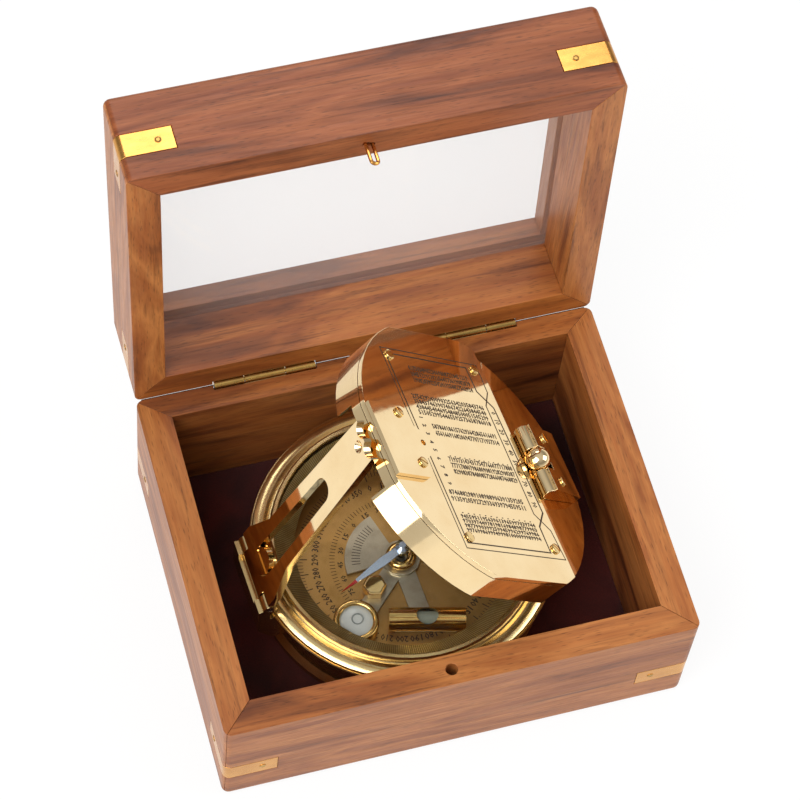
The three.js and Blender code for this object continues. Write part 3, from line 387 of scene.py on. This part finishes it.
def velvet(name):
    """Cotton velvet glued down: deep maroon pile, brushed in patches, bright at a grazing angle."""
    material, tree, shader = new_material(name)
    where = add(tree, "ShaderNodeTexCoord").outputs["Object"]
    # Brushed patches of pile, about 18 mm
    brushed = add(
        tree, "ShaderNodeTexNoise", {"Scale": 55, "Detail": 3, "Roughness": 0.5, "Distortion": 0.6},
        Vector=where,
    )
    # Pile, drawn 0.5 mm coarse so that it shows
    pile = add(
        tree, "ShaderNodeTexNoise", {"Scale": 2000, "Detail": 2, "Roughness": 0.6}, Vector=where
    )
    base = add(
        tree, "ShaderNodeValToRGB", {"stops": [(0.35, hexa("#300A07")), (0.65, hexa("#4E130C"))]},
        Fac=brushed.outputs["Fac"],
    )
    shade = add(
        tree, "ShaderNodeValToRGB", {"stops": [(0.3, grey(0.5)), (0.65, grey(1))]},
        Fac=pile.outputs["Fac"],
    )
    speckled = add(
        tree, "ShaderNodeMix", {"data_type": "RGBA", "blend_type": "MULTIPLY", 0: 0.6},
        i6=base.outputs["Color"], i7=shade.outputs["Color"],
    )
    tree.links.new(shader.inputs["Base Color"], speckled.outputs[2])
    shader.inputs["Roughness"].default_value = 0.95
    shader.inputs["Sheen Weight"].default_value = 0.18
    shader.inputs["Sheen Roughness"].default_value = 0.4
    shader.inputs["Sheen Tint"].default_value = hexa("#A04040")
    bump = add(
        tree, "ShaderNodeBump", {"Strength": 0.6, "Distance": 0.3 * MM}, Height=pile.outputs["Fac"]
    )
    tree.links.new(shader.inputs["Normal"], bump.outputs["Normal"])
    return material


def flat_colour(name, colour, rough):
    """Wax rubbed into an engraved line, the dark strip of painted shade by the hinges, or the edge of
    a bubble: matt, slightly uneven.
    """
    material, tree, shader = new_material(name)
    where = add(tree, "ShaderNodeTexCoord").outputs["Object"]
    # Unevenness, about 0.7 mm
    uneven = add(tree, "ShaderNodeTexNoise", {"Scale": 1500, "Detail": 2}, Vector=where)
    dark = [c * 0.6 for c in hexa(colour)[:3]] + [1]
    toned = add(
        tree, "ShaderNodeValToRGB", {"stops": [(0.3, dark), (0.6, hexa(colour))]},
        Fac=uneven.outputs["Fac"],
    )
    tree.links.new(shader.inputs["Base Color"], toned.outputs["Color"])
    shader.inputs["Roughness"].default_value = rough
    return material


case_brass = polished_brass("brass_turned_case", "#DEC48E", (0.19, 0.25), "#BEA064", 0.5)
cover_brass = polished_brass("brass_buffed_cover", "#F8DDAC", (0.03, 0.09), "#E0B575", 0.3)
level_brass = polished_brass("brass_level", "#E2BE76", (0.1, 0.2))
screw_brass = polished_brass("brass_turned_screw", "#E9C98A", (0.1, 0.22), "#B98B4A", 0.5)
rivet_brass = polished_brass("brass_rivet_filed_flush", "#C79E58", (0.2, 0.4), "#7C5424", 0.7)
strap_brass = polished_brass("brass_sheet_strap", "#DEA256", (0.2, 0.34), "#B4763A", 0.5)
hinge_brass = polished_brass("brass_hinge", "#C9A45E", (0.2, 0.38), "#7E5A2A", 0.7)
pin_steel = ground_steel("steel_hinge_pin")
engraving_wax = flat_colour("black_engraving_wax", "#3A2812", 0.5)


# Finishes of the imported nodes


def dress(node_name, material, bevel=0.0, segments=2, angle=32):
    """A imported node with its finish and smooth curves. A bevel rounds its sharp edges a little,
    and its flat faces stay flat to the light."""
    thing = nodes[node_name]
    thing.data.materials.clear()
    thing.data.materials.append(material)
    for face in thing.data.polygons:
        face.use_smooth = True
    weld = thing.modifiers.new("weld", "WELD")
    weld.merge_threshold = 0.002 * MM
    if bevel:
        flat = thing.modifiers.new("flat", "DECIMATE")
        flat.decimate_type = "DISSOLVE"
        flat.angle_limit = math.radians(1)
        rounding = thing.modifiers.new("rounding", "BEVEL")
        rounding.width = bevel * MM
        rounding.segments = segments
        rounding.limit_method = "ANGLE"
        rounding.angle_limit = math.radians(angle)
        rounding.use_clamp_overlap = True
        level = thing.modifiers.new("level", "WEIGHTED_NORMAL")
        level.mode = "FACE_AREA"
        level.weight = 100
        level.keep_sharp = False
    else:
        split = thing.modifiers.new("split", "EDGE_SPLIT")
        split.split_angle = math.radians(angle)


# Wood: the grain of each wall runs along it
RIM_ROUNDING = 0.35
HINGED_EDGE_ROUNDING = 0.12
for part, along, offset, colours in (
    ("base_front_wall", "X", (0.1, 0.4, 0.2), ()),
    # Painted shade: a darker palette for the base's back wall, whose inner face lies in shade
    ("base_back_wall", "X", (1.3, 0.9, 2.2), ("#A86632", "#7E4623", "#432012")),
    ("base_left_wall", "Y", (2.7, 1.4, 0.6), ()),
    ("base_right_wall", "Y", (3.9, 2.1, 1.5), ()),
    # Painted shade: a darker palette for the lid's front wall, to hold it down under the key light
    # from above
    ("lid_front_wall", "X", (5.2, 3.3, 0.9), ("#9C5830", "#834522", "#4A2211")),
    ("lid_back_wall", "X", (6.1, 4.8, 2.6), ("#AC6830", "#8A4C20", "#522813")),
    ("lid_left_wall", "Z", (7.7, 5.2, 3.1), ()),
    ("lid_right_wall", "Z", (8.4, 6.6, 4.3), ()),
    ("bottom_board", "X", (9.1, 7.4, 5.5), ()),
):
    rounding = HINGED_EDGE_ROUNDING if part == "base_back_wall" else RIM_ROUNDING
    dress(part, sheesham("sheesham_" + part.replace("_wall", ""), along, offset, *colours), rounding)

# The box's brass and its pane
for corner in ("front_left", "front_right", "back_left", "back_right"):
    dress("base_strap_" + corner, strap_brass, 0.12)
    dress("lid_strap_" + corner, strap_brass, 0.12)
for side in ("left", "right"):
    for part in ("base_leaf", "lid_leaf", "pin"):
        dress("box_hinge_%s_%s" % (side, part), hinge_brass)
dress("catch_loop", strap_brass)
dress("lid_pane", clear_glass("glass_lid_pane", "#E4D8D4", 0.14))

# The compass: finish and edge rounding of each node
pale_nickel = turned_metal("nickel_silver_clinometer", "#C6BEA6", 0.25)
for part, finish, rounding in (
    ("case_body", case_brass, 0),
    ("bezel_ring", case_brass, 0),
    ("crystal", clear_glass("glass_crystal", "#181A1A", 0.06), 0),
    ("dial_plate", turned_metal("brass_engraved_dial", "#C79E5E", 0.3), 0),
    ("graduated_ring", divided_brass("brass_degree_circle"), 0),
    ("pivot_post", pin_steel, 0),
    ("compass_needle", needle_steel("steel_needle_red_north"), 0),
    ("clinometer_plate", pale_nickel, 0.1),
    ("clinometer_lever", level_brass, 0.15),
    ("round_level_cup", level_brass, 0),
    ("round_level_vial", clear_glass("glass_round_vial", "#DDE2DC", 0.75, 0.05), 0),
    ("tube_level_barrel", level_brass, 0),
    ("tube_level_vial", clear_glass("glass_tube_vial", "#8E9484", 0.7, 0.05), 0),
    ("cover_hinge_lug", case_brass, 0.2),
    ("arm_hinge_lug", case_brass, 0.2),
    ("cover_hinge_pin", pin_steel, 0),
    ("arm_hinge_pin", pin_steel, 0),
    ("cover_shell", cover_brass, 0.3),
    ("cover_mirror", silvered_glass("glass_silvered_mirror"), 0),
    ("table_plate", cover_brass, 0.15),
    ("tip_plate", cover_brass, 0.2),
    ("sight_block", cover_brass, 0.15),
    ("sight_block_ball", cover_brass, 0),
    ("sight_arm", cover_brass, 0),
    ("sight_arm_screw", cover_brass, 0),
):
    dress(part, finish, rounding)


# Modelling helpers


def clear_selection():
    if bpy.context.mode != "OBJECT":
        bpy.ops.object.mode_set(mode="OBJECT")
    bpy.ops.object.select_all(action="DESELECT")


def active():
    return bpy.context.view_layer.objects.active


def select_only(thing):
    clear_selection()
    thing.select_set(True)
    bpy.context.view_layer.objects.active = thing


def settle(thing, name, matrix, body, material):
    """The new piece named, put in its place and fixed to a body of the model."""
    clear_selection()
    thing.name = name
    thing.data.name = name
    thing.data.transform(matrix @ thing.matrix_world)
    thing.matrix_world = Matrix.Identity(4)
    thing.data.materials.clear()
    thing.data.materials.append(material)
    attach(thing, body)
    return thing


def apply_modifiers(thing):
    select_only(thing)
    for modifier in list(thing.modifiers):
        bpy.ops.object.modifier_apply(modifier=modifier.name)


def pick_faces(thing, wanted):
    """In edit mode, selects the faces that pass a test and nothing else."""
    bpy.ops.mesh.select_all(action="DESELECT")
    shape = bmesh.from_edit_mesh(thing.data)
    for face in shape.faces:
        face.select = bool(wanted(face))
    shape.select_flush(True)
    bmesh.update_edit_mesh(thing.data)


def is_top(face):
    return face.normal.z > 0.9


def copy_of(pattern):
    twin = pattern.copy()
    twin.data = pattern.data.copy()
    scene.collection.objects.link(twin)
    return twin


def place_copies(pattern, name, matrices, body, material):
    """Copies of one modelled shape, each with its own mesh, one piece for each."""
    for count, matrix in enumerate(matrices, 1):
        settle(copy_of(pattern), "%s_%d" % (name, count), matrix, body, material)
    bpy.data.objects.remove(pattern)


def join_copies(pattern, name, matrices, body, material):
    """Copies of one modelled shape joined into a single piece."""
    clear_selection()
    for matrix in matrices:
        twin = copy_of(pattern)
        twin.data.transform(matrix)
        twin.select_set(True)
        bpy.context.view_layer.objects.active = twin
    bpy.ops.object.join()
    whole = active()
    bpy.data.objects.remove(pattern)
    settle(whole, name, Matrix.Identity(4), body, material)


def bar(length, width, height):
    """A plain bar round the origin, for a strip or an engraved mark."""
    clear_selection()
    bpy.ops.mesh.primitive_cube_add(size=1)
    strip = active()
    strip.scale = (length * MM, width * MM, height * MM)
    bpy.ops.object.transform_apply(location=False, rotation=False, scale=True)
    return strip


def raised_cylinder(sides, radius, height):
    """A prism that stands on the origin."""
    clear_selection()
    bpy.ops.mesh.primitive_cylinder_add(
        vertices=sides, radius=radius * MM, depth=height * MM, location=(0, 0, height / 2 * MM)
    )
    bpy.ops.object.transform_apply(location=True, rotation=False, scale=False)
    return active()


def torus(major, minor, major_steps, minor_steps):
    clear_selection()
    bpy.ops.mesh.primitive_torus_add(
        major_segments=major_steps, minor_segments=minor_steps,
        major_radius=major * MM, minor_radius=minor * MM,
    )
    ring = active()
    for face in ring.data.polygons:
        face.use_smooth = True
    return ring


# Velvet lining: one sheet with a soft nap, on the bottom board
low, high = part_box("velvet_lining")
clear_selection()
bpy.ops.mesh.primitive_cube_add(size=1, location=(low + high) / 2)
lining = active()
lining.scale = high - low
bpy.ops.object.transform_apply(location=True, rotation=False, scale=True)
bpy.ops.object.mode_set(mode="EDIT")
bpy.ops.mesh.select_all(action="SELECT")
bpy.ops.mesh.subdivide(number_cuts=24)
bpy.ops.object.mode_set(mode="OBJECT")
settle(
    lining, "velvet_sheet", Matrix.Identity(4), "box_base", velvet("cotton_velvet_maroon"),
)
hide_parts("velvet_lining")

# Painted shade: a dark brown strip beside the hinges, which closes the crack under the open lid
# against the light and stands in for the shade there
SHADE_STRIP_THICKNESS = 0.28
SHADE_STRIP_DEPTH = 2.9
SHADE_STRIP_TOP = 40.9
SHADE_STRIPS = ((-53.2, 20.2), (0, 28.4), (53.2, 20.2))
join_copies(
    bar(1, SHADE_STRIP_THICKNESS, SHADE_STRIP_DEPTH), "back_edge_painted_shade_strip",
    [
        shift(middle, BOX_HALF_WIDTH + SHADE_STRIP_THICKNESS / 2, SHADE_STRIP_TOP - SHADE_STRIP_DEPTH / 2)
        @ Matrix.Diagonal((length, 1, 1, 1))
        for middle, length in SHADE_STRIPS
    ],
    "box_base", flat_colour("painted_shade_dark_brown", "#2A160C", 0.95),
)


# Screws and rivets


def slotted_screw(radius, height, slot):
    """A turned screw head: a low crown, a rounded rim and one sawn slot."""
    head = raised_cylinder(32, radius, height)
    bpy.ops.object.mode_set(mode="EDIT")
    pick_faces(head, is_top)
    bpy.ops.mesh.inset(thickness=0.3 * radius * MM, depth=0.12 * height * MM)
    bpy.ops.mesh.inset(thickness=0.3 * radius * MM, depth=0.05 * height * MM)
    bpy.ops.object.mode_set(mode="OBJECT")
    rim = head.modifiers.new("rim", "BEVEL")
    rim.width = 0.16 * height * MM
    rim.segments = 2
    rim.limit_method = "ANGLE"
    rim.angle_limit = math.radians(50)
    clear_selection()
    bpy.ops.mesh.primitive_cube_add(size=1, location=(0, 0, 1.15 * height * MM))
    saw = active()
    saw.scale = (slot * MM, 3 * radius * MM, 0.9 * height * MM)
    cut = head.modifiers.new("cut", "BOOLEAN")
    cut.operation = "DIFFERENCE"
    cut.object = saw
    apply_modifiers(head)
    bpy.data.objects.remove(saw)
    select_only(head)
    bpy.ops.object.shade_smooth_by_angle(angle=math.radians(35))
    return head


TABLE_TOP = 32.2
TIP_PLATE_TOP = 33.5
BLOCK_SCREW_X = 30.4
BLOCK_TOP = 34.83
BLOCK_SLOPE = 9.53
SCREW_RADIUS = 1.5
SCREW_HEIGHT = 0.45
SLOT_WIDTH = 0.42
SCREW_LIFT = 0.03

# Each screw: its place on the cover, and the way its slot points
for name, height, seats in (
    ("table_screw", 0.5, [
        shift(x, y, TABLE_TOP + SCREW_LIFT) @ turn(angle, "Z")
        for x, y, angle in ((-20.3, 28.8, 62), (16, 29.1, 75), (-20, -27.6, 118), (16.4, -27.9, 40))
    ]),
    ("tip_plate_screw", SCREW_HEIGHT, [
        shift(x, y, TIP_PLATE_TOP + SCREW_LIFT) @ turn(angle, "Z")
        for x, y, angle in ((-29.3, 8.6, 30), (-28, -6.6, 60))
    ]),
    ("sight_block_screw", SCREW_HEIGHT, [
        shift(BLOCK_SCREW_X, y, BLOCK_TOP) @ turn(BLOCK_SLOPE, "Y") @ turn(angle, "Z")
        for y, angle in ((6.9, 20), (-6.9, 35))
    ]),
):
    place_copies(
        slotted_screw(SCREW_RADIUS, height, SLOT_WIDTH), name, [COVER @ seat for seat in seats],
        "cover", screw_brass,
    )


def rivet():
    """A rivet filed nearly flush: a low rim with a hollow middle."""
    clear_selection()
    bpy.ops.mesh.primitive_cylinder_add(vertices=24, radius=0.9 * MM, depth=0.24 * MM)
    head = active()
    bpy.ops.object.mode_set(mode="EDIT")
    pick_faces(head, is_top)
    bpy.ops.mesh.inset(thickness=0.22 * MM, depth=0.05 * MM)
    bpy.ops.mesh.inset(thickness=0.2 * MM, depth=-0.08 * MM)
    bpy.ops.object.mode_set(mode="OBJECT")
    return head


# One rivet in each leg of every strap, at the same distance from the corner
RIVET_FROM_CORNER = 10.7
for body, name, place, middle in (
    ("box_base", "base_strap_rivet", Matrix.Identity(4), 14.9),
    ("box_lid", "lid_strap_rivet", LID, 10.7),
):
    seats = []
    for sx in (-1, 1):
        for sy in (-1, 1):
            along_x = sx * (BOX_HALF_LENGTH - RIVET_FROM_CORNER)
            along_y = sy * (BOX_HALF_WIDTH - RIVET_FROM_CORNER)
            seats.append(place @ shift(along_x, sy * BOX_HALF_WIDTH, middle) @ turn(-90 * sy, "X"))
            seats.append(place @ shift(sx * BOX_HALF_LENGTH, along_y, middle) @ turn(90 * sx, "Y"))
    place_copies(rivet(), name, seats, body, rivet_brass)


# Engraving

FIGURE_THICKNESS = 0.02
FIGURE_BOLDNESS = 0.04
# The drawn size of the font's figures is smaller than its nominal size
FONT_SCALE = 1.4


def engraved_line(name, points, matrix, body, width):
    """A closed waxed line: a thin flat wire that lies just proud of the surface."""
    curve = bpy.data.curves.new(name, "CURVE")
    curve.dimensions = "3D"
    curve.bevel_depth = width / 2 * MM
    curve.bevel_resolution = 1
    curve.use_fill_caps = True
    spline = curve.splines.new("POLY")
    spline.points.add(len(points) - 1)
    for point, (x, y) in zip(spline.points, points):
        point.co = (x * MM, y * MM, 0, 1)
    spline.use_cyclic_u = True
    wire = bpy.data.objects.new(name, curve)
    scene.collection.objects.link(wire)
    select_only(wire)
    bpy.ops.object.convert(target="MESH")
    wire = active()
    wire.data.transform(Matrix.Diagonal((1, 1, 0.3, 1)))
    settle(wire, name, matrix, body, engraving_wax)


def number_line(text, size, width, matrix):
    """One row of plain figures as a thin closed mesh, drawn out to the width that it fills."""
    clear_selection()
    bpy.ops.object.text_add()
    row = active()
    row.data.body = text
    row.data.size = size * FONT_SCALE * MM
    row.data.extrude = FIGURE_THICKNESS * MM
    row.data.offset = FIGURE_BOLDNESS * MM
    row.data.resolution_u = 1
    row.data.align_x = "CENTER"
    row.data.align_y = "CENTER"
    bpy.ops.object.convert(target="MESH")
    row = active()
    row.data.transform(Matrix.Diagonal((width * MM / row.dimensions.x, 1, 1, 1)))
    bpy.ops.object.mode_set(mode="EDIT")
    bpy.ops.mesh.select_all(action="SELECT")
    bpy.ops.mesh.remove_doubles(threshold=1e-7)
    bpy.ops.object.mode_set(mode="OBJECT")
    row.data.transform(matrix)
    return row


def join_rows(rows, name, matrix, body):
    clear_selection()
    for row in rows:
        row.select_set(True)
    bpy.context.view_layer.objects.active = rows[0]
    bpy.ops.object.join()
    settle(active(), name, matrix, body, engraving_wax)


# Table plate: two borders that swap places at the ends of the number strip
table = COVER @ shift(0, 0, TABLE_TOP + FIGURE_THICKNESS)
outer_border = [
    (-22.9, -31), (19.2, -31), (18.3, -22), (13.9, -17.2), (14.2, 17.2), (17.7, 22), (18, 31),
    (-22.9, 31),
]
inner_border = [
    (-21.5, -29.3), (13.7, -29.3), (13.9, -21.2), (18.3, -16.4), (17.4, 17), (12.8, 21.7),
    (12.6, 29.4), (-21.5, 29.4),
]
engraved_line("table_border_outer", outer_border, table, "cover", 0.42)
engraved_line("table_border_inner", inner_border, table, "cover", 0.56)

# Four-figure sines in six blocks: left, right and top edge, rows, pitch, and a dotted row above
SINES_IN_A_ROW = 7
SINE_STEP = 5
rows = []
degree = 1
for left, right, top, count, pitch, dotted in (
    (-14, 11, 25.6, 3, 1.9, False),
    (-18, 12.6, 16.2, 4, 1.7, False),
    (-14.6, 12.4, 7, 2, 2.1, False),
    (-13.9, 13.2, -3.1, 3, 1.9, True),
    (-20, 11.3, -13.8, 2, 2, False),
    (-19.5, 12, -21.1, 4, 1.4, True),
):
    across = right - left
    middle = (left + right) / 2
    if dotted:
        rows.append(number_line(". " * 12 + ".", 1.6, across - 2, shift(middle, top + 1.7, 0)))
    for k in range(count):
        figures = "".join(
            "%04d" % round(10000 * math.sin(math.radians(degree + i))) for i in range(SINES_IN_A_ROW)
        )
        degree += SINE_STEP
        size = min(1.5, pitch * 0.85)
        rows.append(number_line(figures, size, across, shift(middle, top - k * pitch, 0)))
join_rows(rows, "table_number_columns", table, "cover")

# Number scales down both sides of the columns
tens = "   ".join(str(10 * i) for i in range(10))
units = "   ".join(str(i) for i in range(1, 10))
scales = [
    number_line(tens, 1.9, 30.5, shift(16, 0.3, 0) @ turn(-90, "Z")),
    number_line(units, 1.5, 21, shift(-18.2, -0.8, 0) @ turn(-90, "Z")),
]
join_rows(scales, "table_number_scales", table, "cover")

# Dial: degree marks on the plate, and figures every ten degrees
DIAL_TOP = 7.82
MARK_HEIGHT = 0.05
FINE_MARK = (2, 0.16)
TEN_MARK = (3.2, 0.26)
FIGURES_AT = 23.6
INNER_FIGURES_AT = 16.6
INNER_MARKS_AT = 18.9
INNER_TURN = 120
dial = COMPASS @ shift(0, 0, DIAL_TOP)


def dial_turns(plane, angles, reach):
    return [plane @ turn(angle, "Z") @ shift(reach, 0, 0) for angle in angles]


join_copies(
    bar(*FINE_MARK, MARK_HEIGHT), "dial_marks_fine",
    dial_turns(dial, [angle for angle in range(0, 360, 2) if angle % 10], 28),
    "compass_case", engraving_wax,
)
join_copies(
    bar(*TEN_MARK, MARK_HEIGHT), "dial_marks_tens", dial_turns(dial, range(0, 360, 10), 27.4),
    "compass_case", engraving_wax,
)
figures = []
for angle in range(0, 360, 10):
    width = (1.1, 2.4, 3.4)[min(len(str(angle)), 3) - 1]
    seat = turn(90 - angle, "Z") @ shift(FIGURES_AT, 0, 0) @ turn(-90, "Z")
    figures.append(number_line(str(angle), 1.9, width, seat))
join_rows(figures, "dial_figures", dial, "compass_case")

# Clinometer's arc on the dial, figured from the middle to either side
figures = []
for angle in range(-90, 91, 15):
    seat = turn(angle, "Z") @ shift(INNER_FIGURES_AT, 0, 0) @ turn(-90, "Z")
    figures.append(number_line(str(abs(angle)), 1.4, 2 if angle else 0.9, seat))
join_rows(figures, "dial_figures_inner", dial @ turn(INNER_TURN, "Z"), "compass_case")
join_copies(
    bar(1.5, 0.16, MARK_HEIGHT), "dial_marks_inner",
    dial_turns(dial, range(INNER_TURN - 90, INNER_TURN + 91, 3), INNER_MARKS_AT),
    "compass_case", engraving_wax,
)

# Vernier marks on the clinometer's sector
CLINOMETER_TOP = 8.95
sector = COMPASS @ shift(0, 0, CLINOMETER_TOP)
join_copies(
    bar(2.4, 0.16, MARK_HEIGHT), "vernier_marks",
    dial_turns(sector, range(SECTOR_MIDDLE - 28, SECTOR_MIDDLE + 29, 4), 12.4),
    "clinometer", engraving_wax,
)


# Clinometer's small parts

# Clamp nut: a six-sided head with a turned crown
nut = raised_cylinder(6, 3.4, 2.8)
bpy.ops.object.mode_set(mode="EDIT")
pick_faces(nut, is_top)
bpy.ops.mesh.inset(thickness=0.5 * MM, depth=0.3 * MM)
bpy.ops.object.mode_set(mode="OBJECT")
soft = nut.modifiers.new("soft", "BEVEL")
soft.width = 0.15 * MM
soft.segments = 2
apply_modifiers(nut)
nut_at = COMPASS @ shift(-10.2, -6.2, CLINOMETER_TOP) @ turn(12, "Z")
settle(nut, "clinometer_clamp_nut", nut_at, "clinometer", screw_brass)

# Hub ring round the needle's post, cut off flat underneath
HUB_BOTTOM = 9.75
HUB_LIFT = 0.9
hub = torus(3, 1.3, 48, 16)
hub.data.transform(shift(0, 0, HUB_LIFT))
bpy.ops.object.mode_set(mode="EDIT")
bpy.ops.mesh.select_all(action="SELECT")
bpy.ops.mesh.bisect(plane_co=(0, 0, 0), plane_no=(0, 0, 1), use_fill=True, clear_inner=True)
bpy.ops.object.mode_set(mode="OBJECT")
for face in hub.data.polygons:
    face.use_smooth = True
settle(hub, "clinometer_hub_ring", COMPASS @ shift(0, 0, HUB_BOTTOM), "clinometer", level_brass)

# Round level: the rolled rim that holds its glass, and the bubble under the glass
ROUND_LEVEL_AT = (-19.28, -15.44)
RIM_MIDDLE = 13.9
BUBBLE_MIDDLE = 14.04
BUBBLE_DRIFT = (0.5, 0.4, 0)
rim = torus(5.4, 0.85, 48, 12)
rim.data.transform(Matrix.Diagonal((1, 1, 0.7, 1)))
rim_at = COMPASS @ shift(*ROUND_LEVEL_AT, RIM_MIDDLE)
settle(rim, "round_level_rim", rim_at, "clinometer", level_brass)
bubble = torus(1.5, 0.22, 48, 12)
bubble.data.transform(Matrix.Diagonal((1, 1, 0.4, 1)))
bubble_at = COMPASS @ shift(*ROUND_LEVEL_AT, BUBBLE_MIDDLE) @ shift(*BUBBLE_DRIFT)
bubble_grey = flat_colour("grey_bubble_edge", "#9AA09C", 0.3)
settle(bubble, "round_level_bubble", bubble_at, "clinometer", bubble_grey)


# Camera, at the photograph's angle
CAMERA_AT = (-153.46, -351.08, 803.42)
right = Vector((0.96155, -0.26671, 0.06547))
up = Vector((0.20500, 0.85570, 0.47513))
back = Vector((-0.18274, -0.44344, 0.87748))
clear_selection()
bpy.ops.object.camera_add()
camera = active()
camera.matrix_world = Matrix((
    (right.x, up.x, back.x, CAMERA_AT[0] * MM),
    (right.y, up.y, back.y, CAMERA_AT[1] * MM),
    (right.z, up.z, back.z, CAMERA_AT[2] * MM),
    (0, 0, 0, 1),
))
camera.data.sensor_width = 36
camera.data.lens = 142.9
camera.data.clip_start = 0.05
camera.data.clip_end = 20
scene.camera = camera
scene.view_settings.view_transform = "Standard"

# Floor: pale, shown white to the camera, to reflections and through glass, with a soft shadow
WHITE_SHARE = 0.88
floor_paper, tree, shader = new_material("paper_backdrop_white")
shader.inputs["Base Color"].default_value = hexa("#F4F4F2")
shader.inputs["Roughness"].default_value = 0.9
path = add(tree, "ShaderNodeLightPath").outputs
seen = path["Is Camera Ray"]
for ray in ("Is Glossy Ray", "Is Transmission Ray"):
    seen = add(
        tree, "ShaderNodeMath", {"operation": "MAXIMUM"}, i0=seen, i1=path[ray]
    ).outputs[0]
share = add(tree, "ShaderNodeMath", {"operation": "MULTIPLY", 1: WHITE_SHARE}, i0=seen)
white = add(tree, "ShaderNodeEmission", {"Color": grey(1), "Strength": 1.0})
mixed = add(
    tree, "ShaderNodeMixShader", {}, i0=share.outputs[0], i1=shader.outputs[0], i2=white.outputs[0]
)
tree.links.new(tree.nodes["Material Output"].inputs["Surface"], mixed.outputs[0])
clear_selection()
bpy.ops.mesh.primitive_plane_add(size=12, location=(0, 0, -0.2 * MM))
floor = active()
floor.name = "floor"
floor.data.materials.append(floor_paper)


# Light: four soft boxes, from the left, the right, behind and low at the front left
def soft_box(name, place, aim_height, size, watts):
    light = bpy.data.lights.new(name, "AREA")
    light.shape = "SQUARE"
    light.size = size
    light.energy = watts
    lamp = bpy.data.objects.new(name, light)
    scene.collection.objects.link(lamp)
    lamp.location = place
    aim = Vector((0, 0, aim_height)) - Vector(place)
    lamp.rotation_euler = aim.to_track_quat("-Z", "Y").to_euler()


soft_box("key_light", (-0.55, -0.35, 0.9), 0.04, 0.7, 9)
soft_box("fill_light", (0.8, -0.2, 0.6), 0.04, 0.6, 4)
soft_box("back_light", (0.1, 0.9, 0.9), 0.06, 0.6, 4)
soft_box("low_light", (-0.85, -0.42, 0.24), 0.05, 0.4, 1.4)

# Room: pale low down, darker at eye level and pale again above, for the brass to mirror
world = bpy.data.worlds.new("studio")
scene.world = world
world.use_nodes = True
tree = world.node_tree
tree.nodes.clear()
direction = add(tree, "ShaderNodeTexCoord").outputs["Generated"]
height = add(tree, "ShaderNodeSeparateXYZ", {}, Vector=direction).outputs["Z"]
level = add(tree, "ShaderNodeMapRange", {"From Min": -1}, Value=height)
room = add(
    tree, "ShaderNodeValToRGB",
    {"stops": [
        (0.45, grey(0.9)), (0.55, grey(0.75)), (0.7, grey(0.35)), (0.82, grey(0.5)), (1.0, grey(0.85)),
    ]},
    Fac=level.outputs[0],
)
background = add(tree, "ShaderNodeBackground", {"Strength": 0.75}, Color=room.outputs["Color"])
output = tree.nodes.new("ShaderNodeOutputWorld")
tree.links.new(output.inputs["Surface"], background.outputs[0])
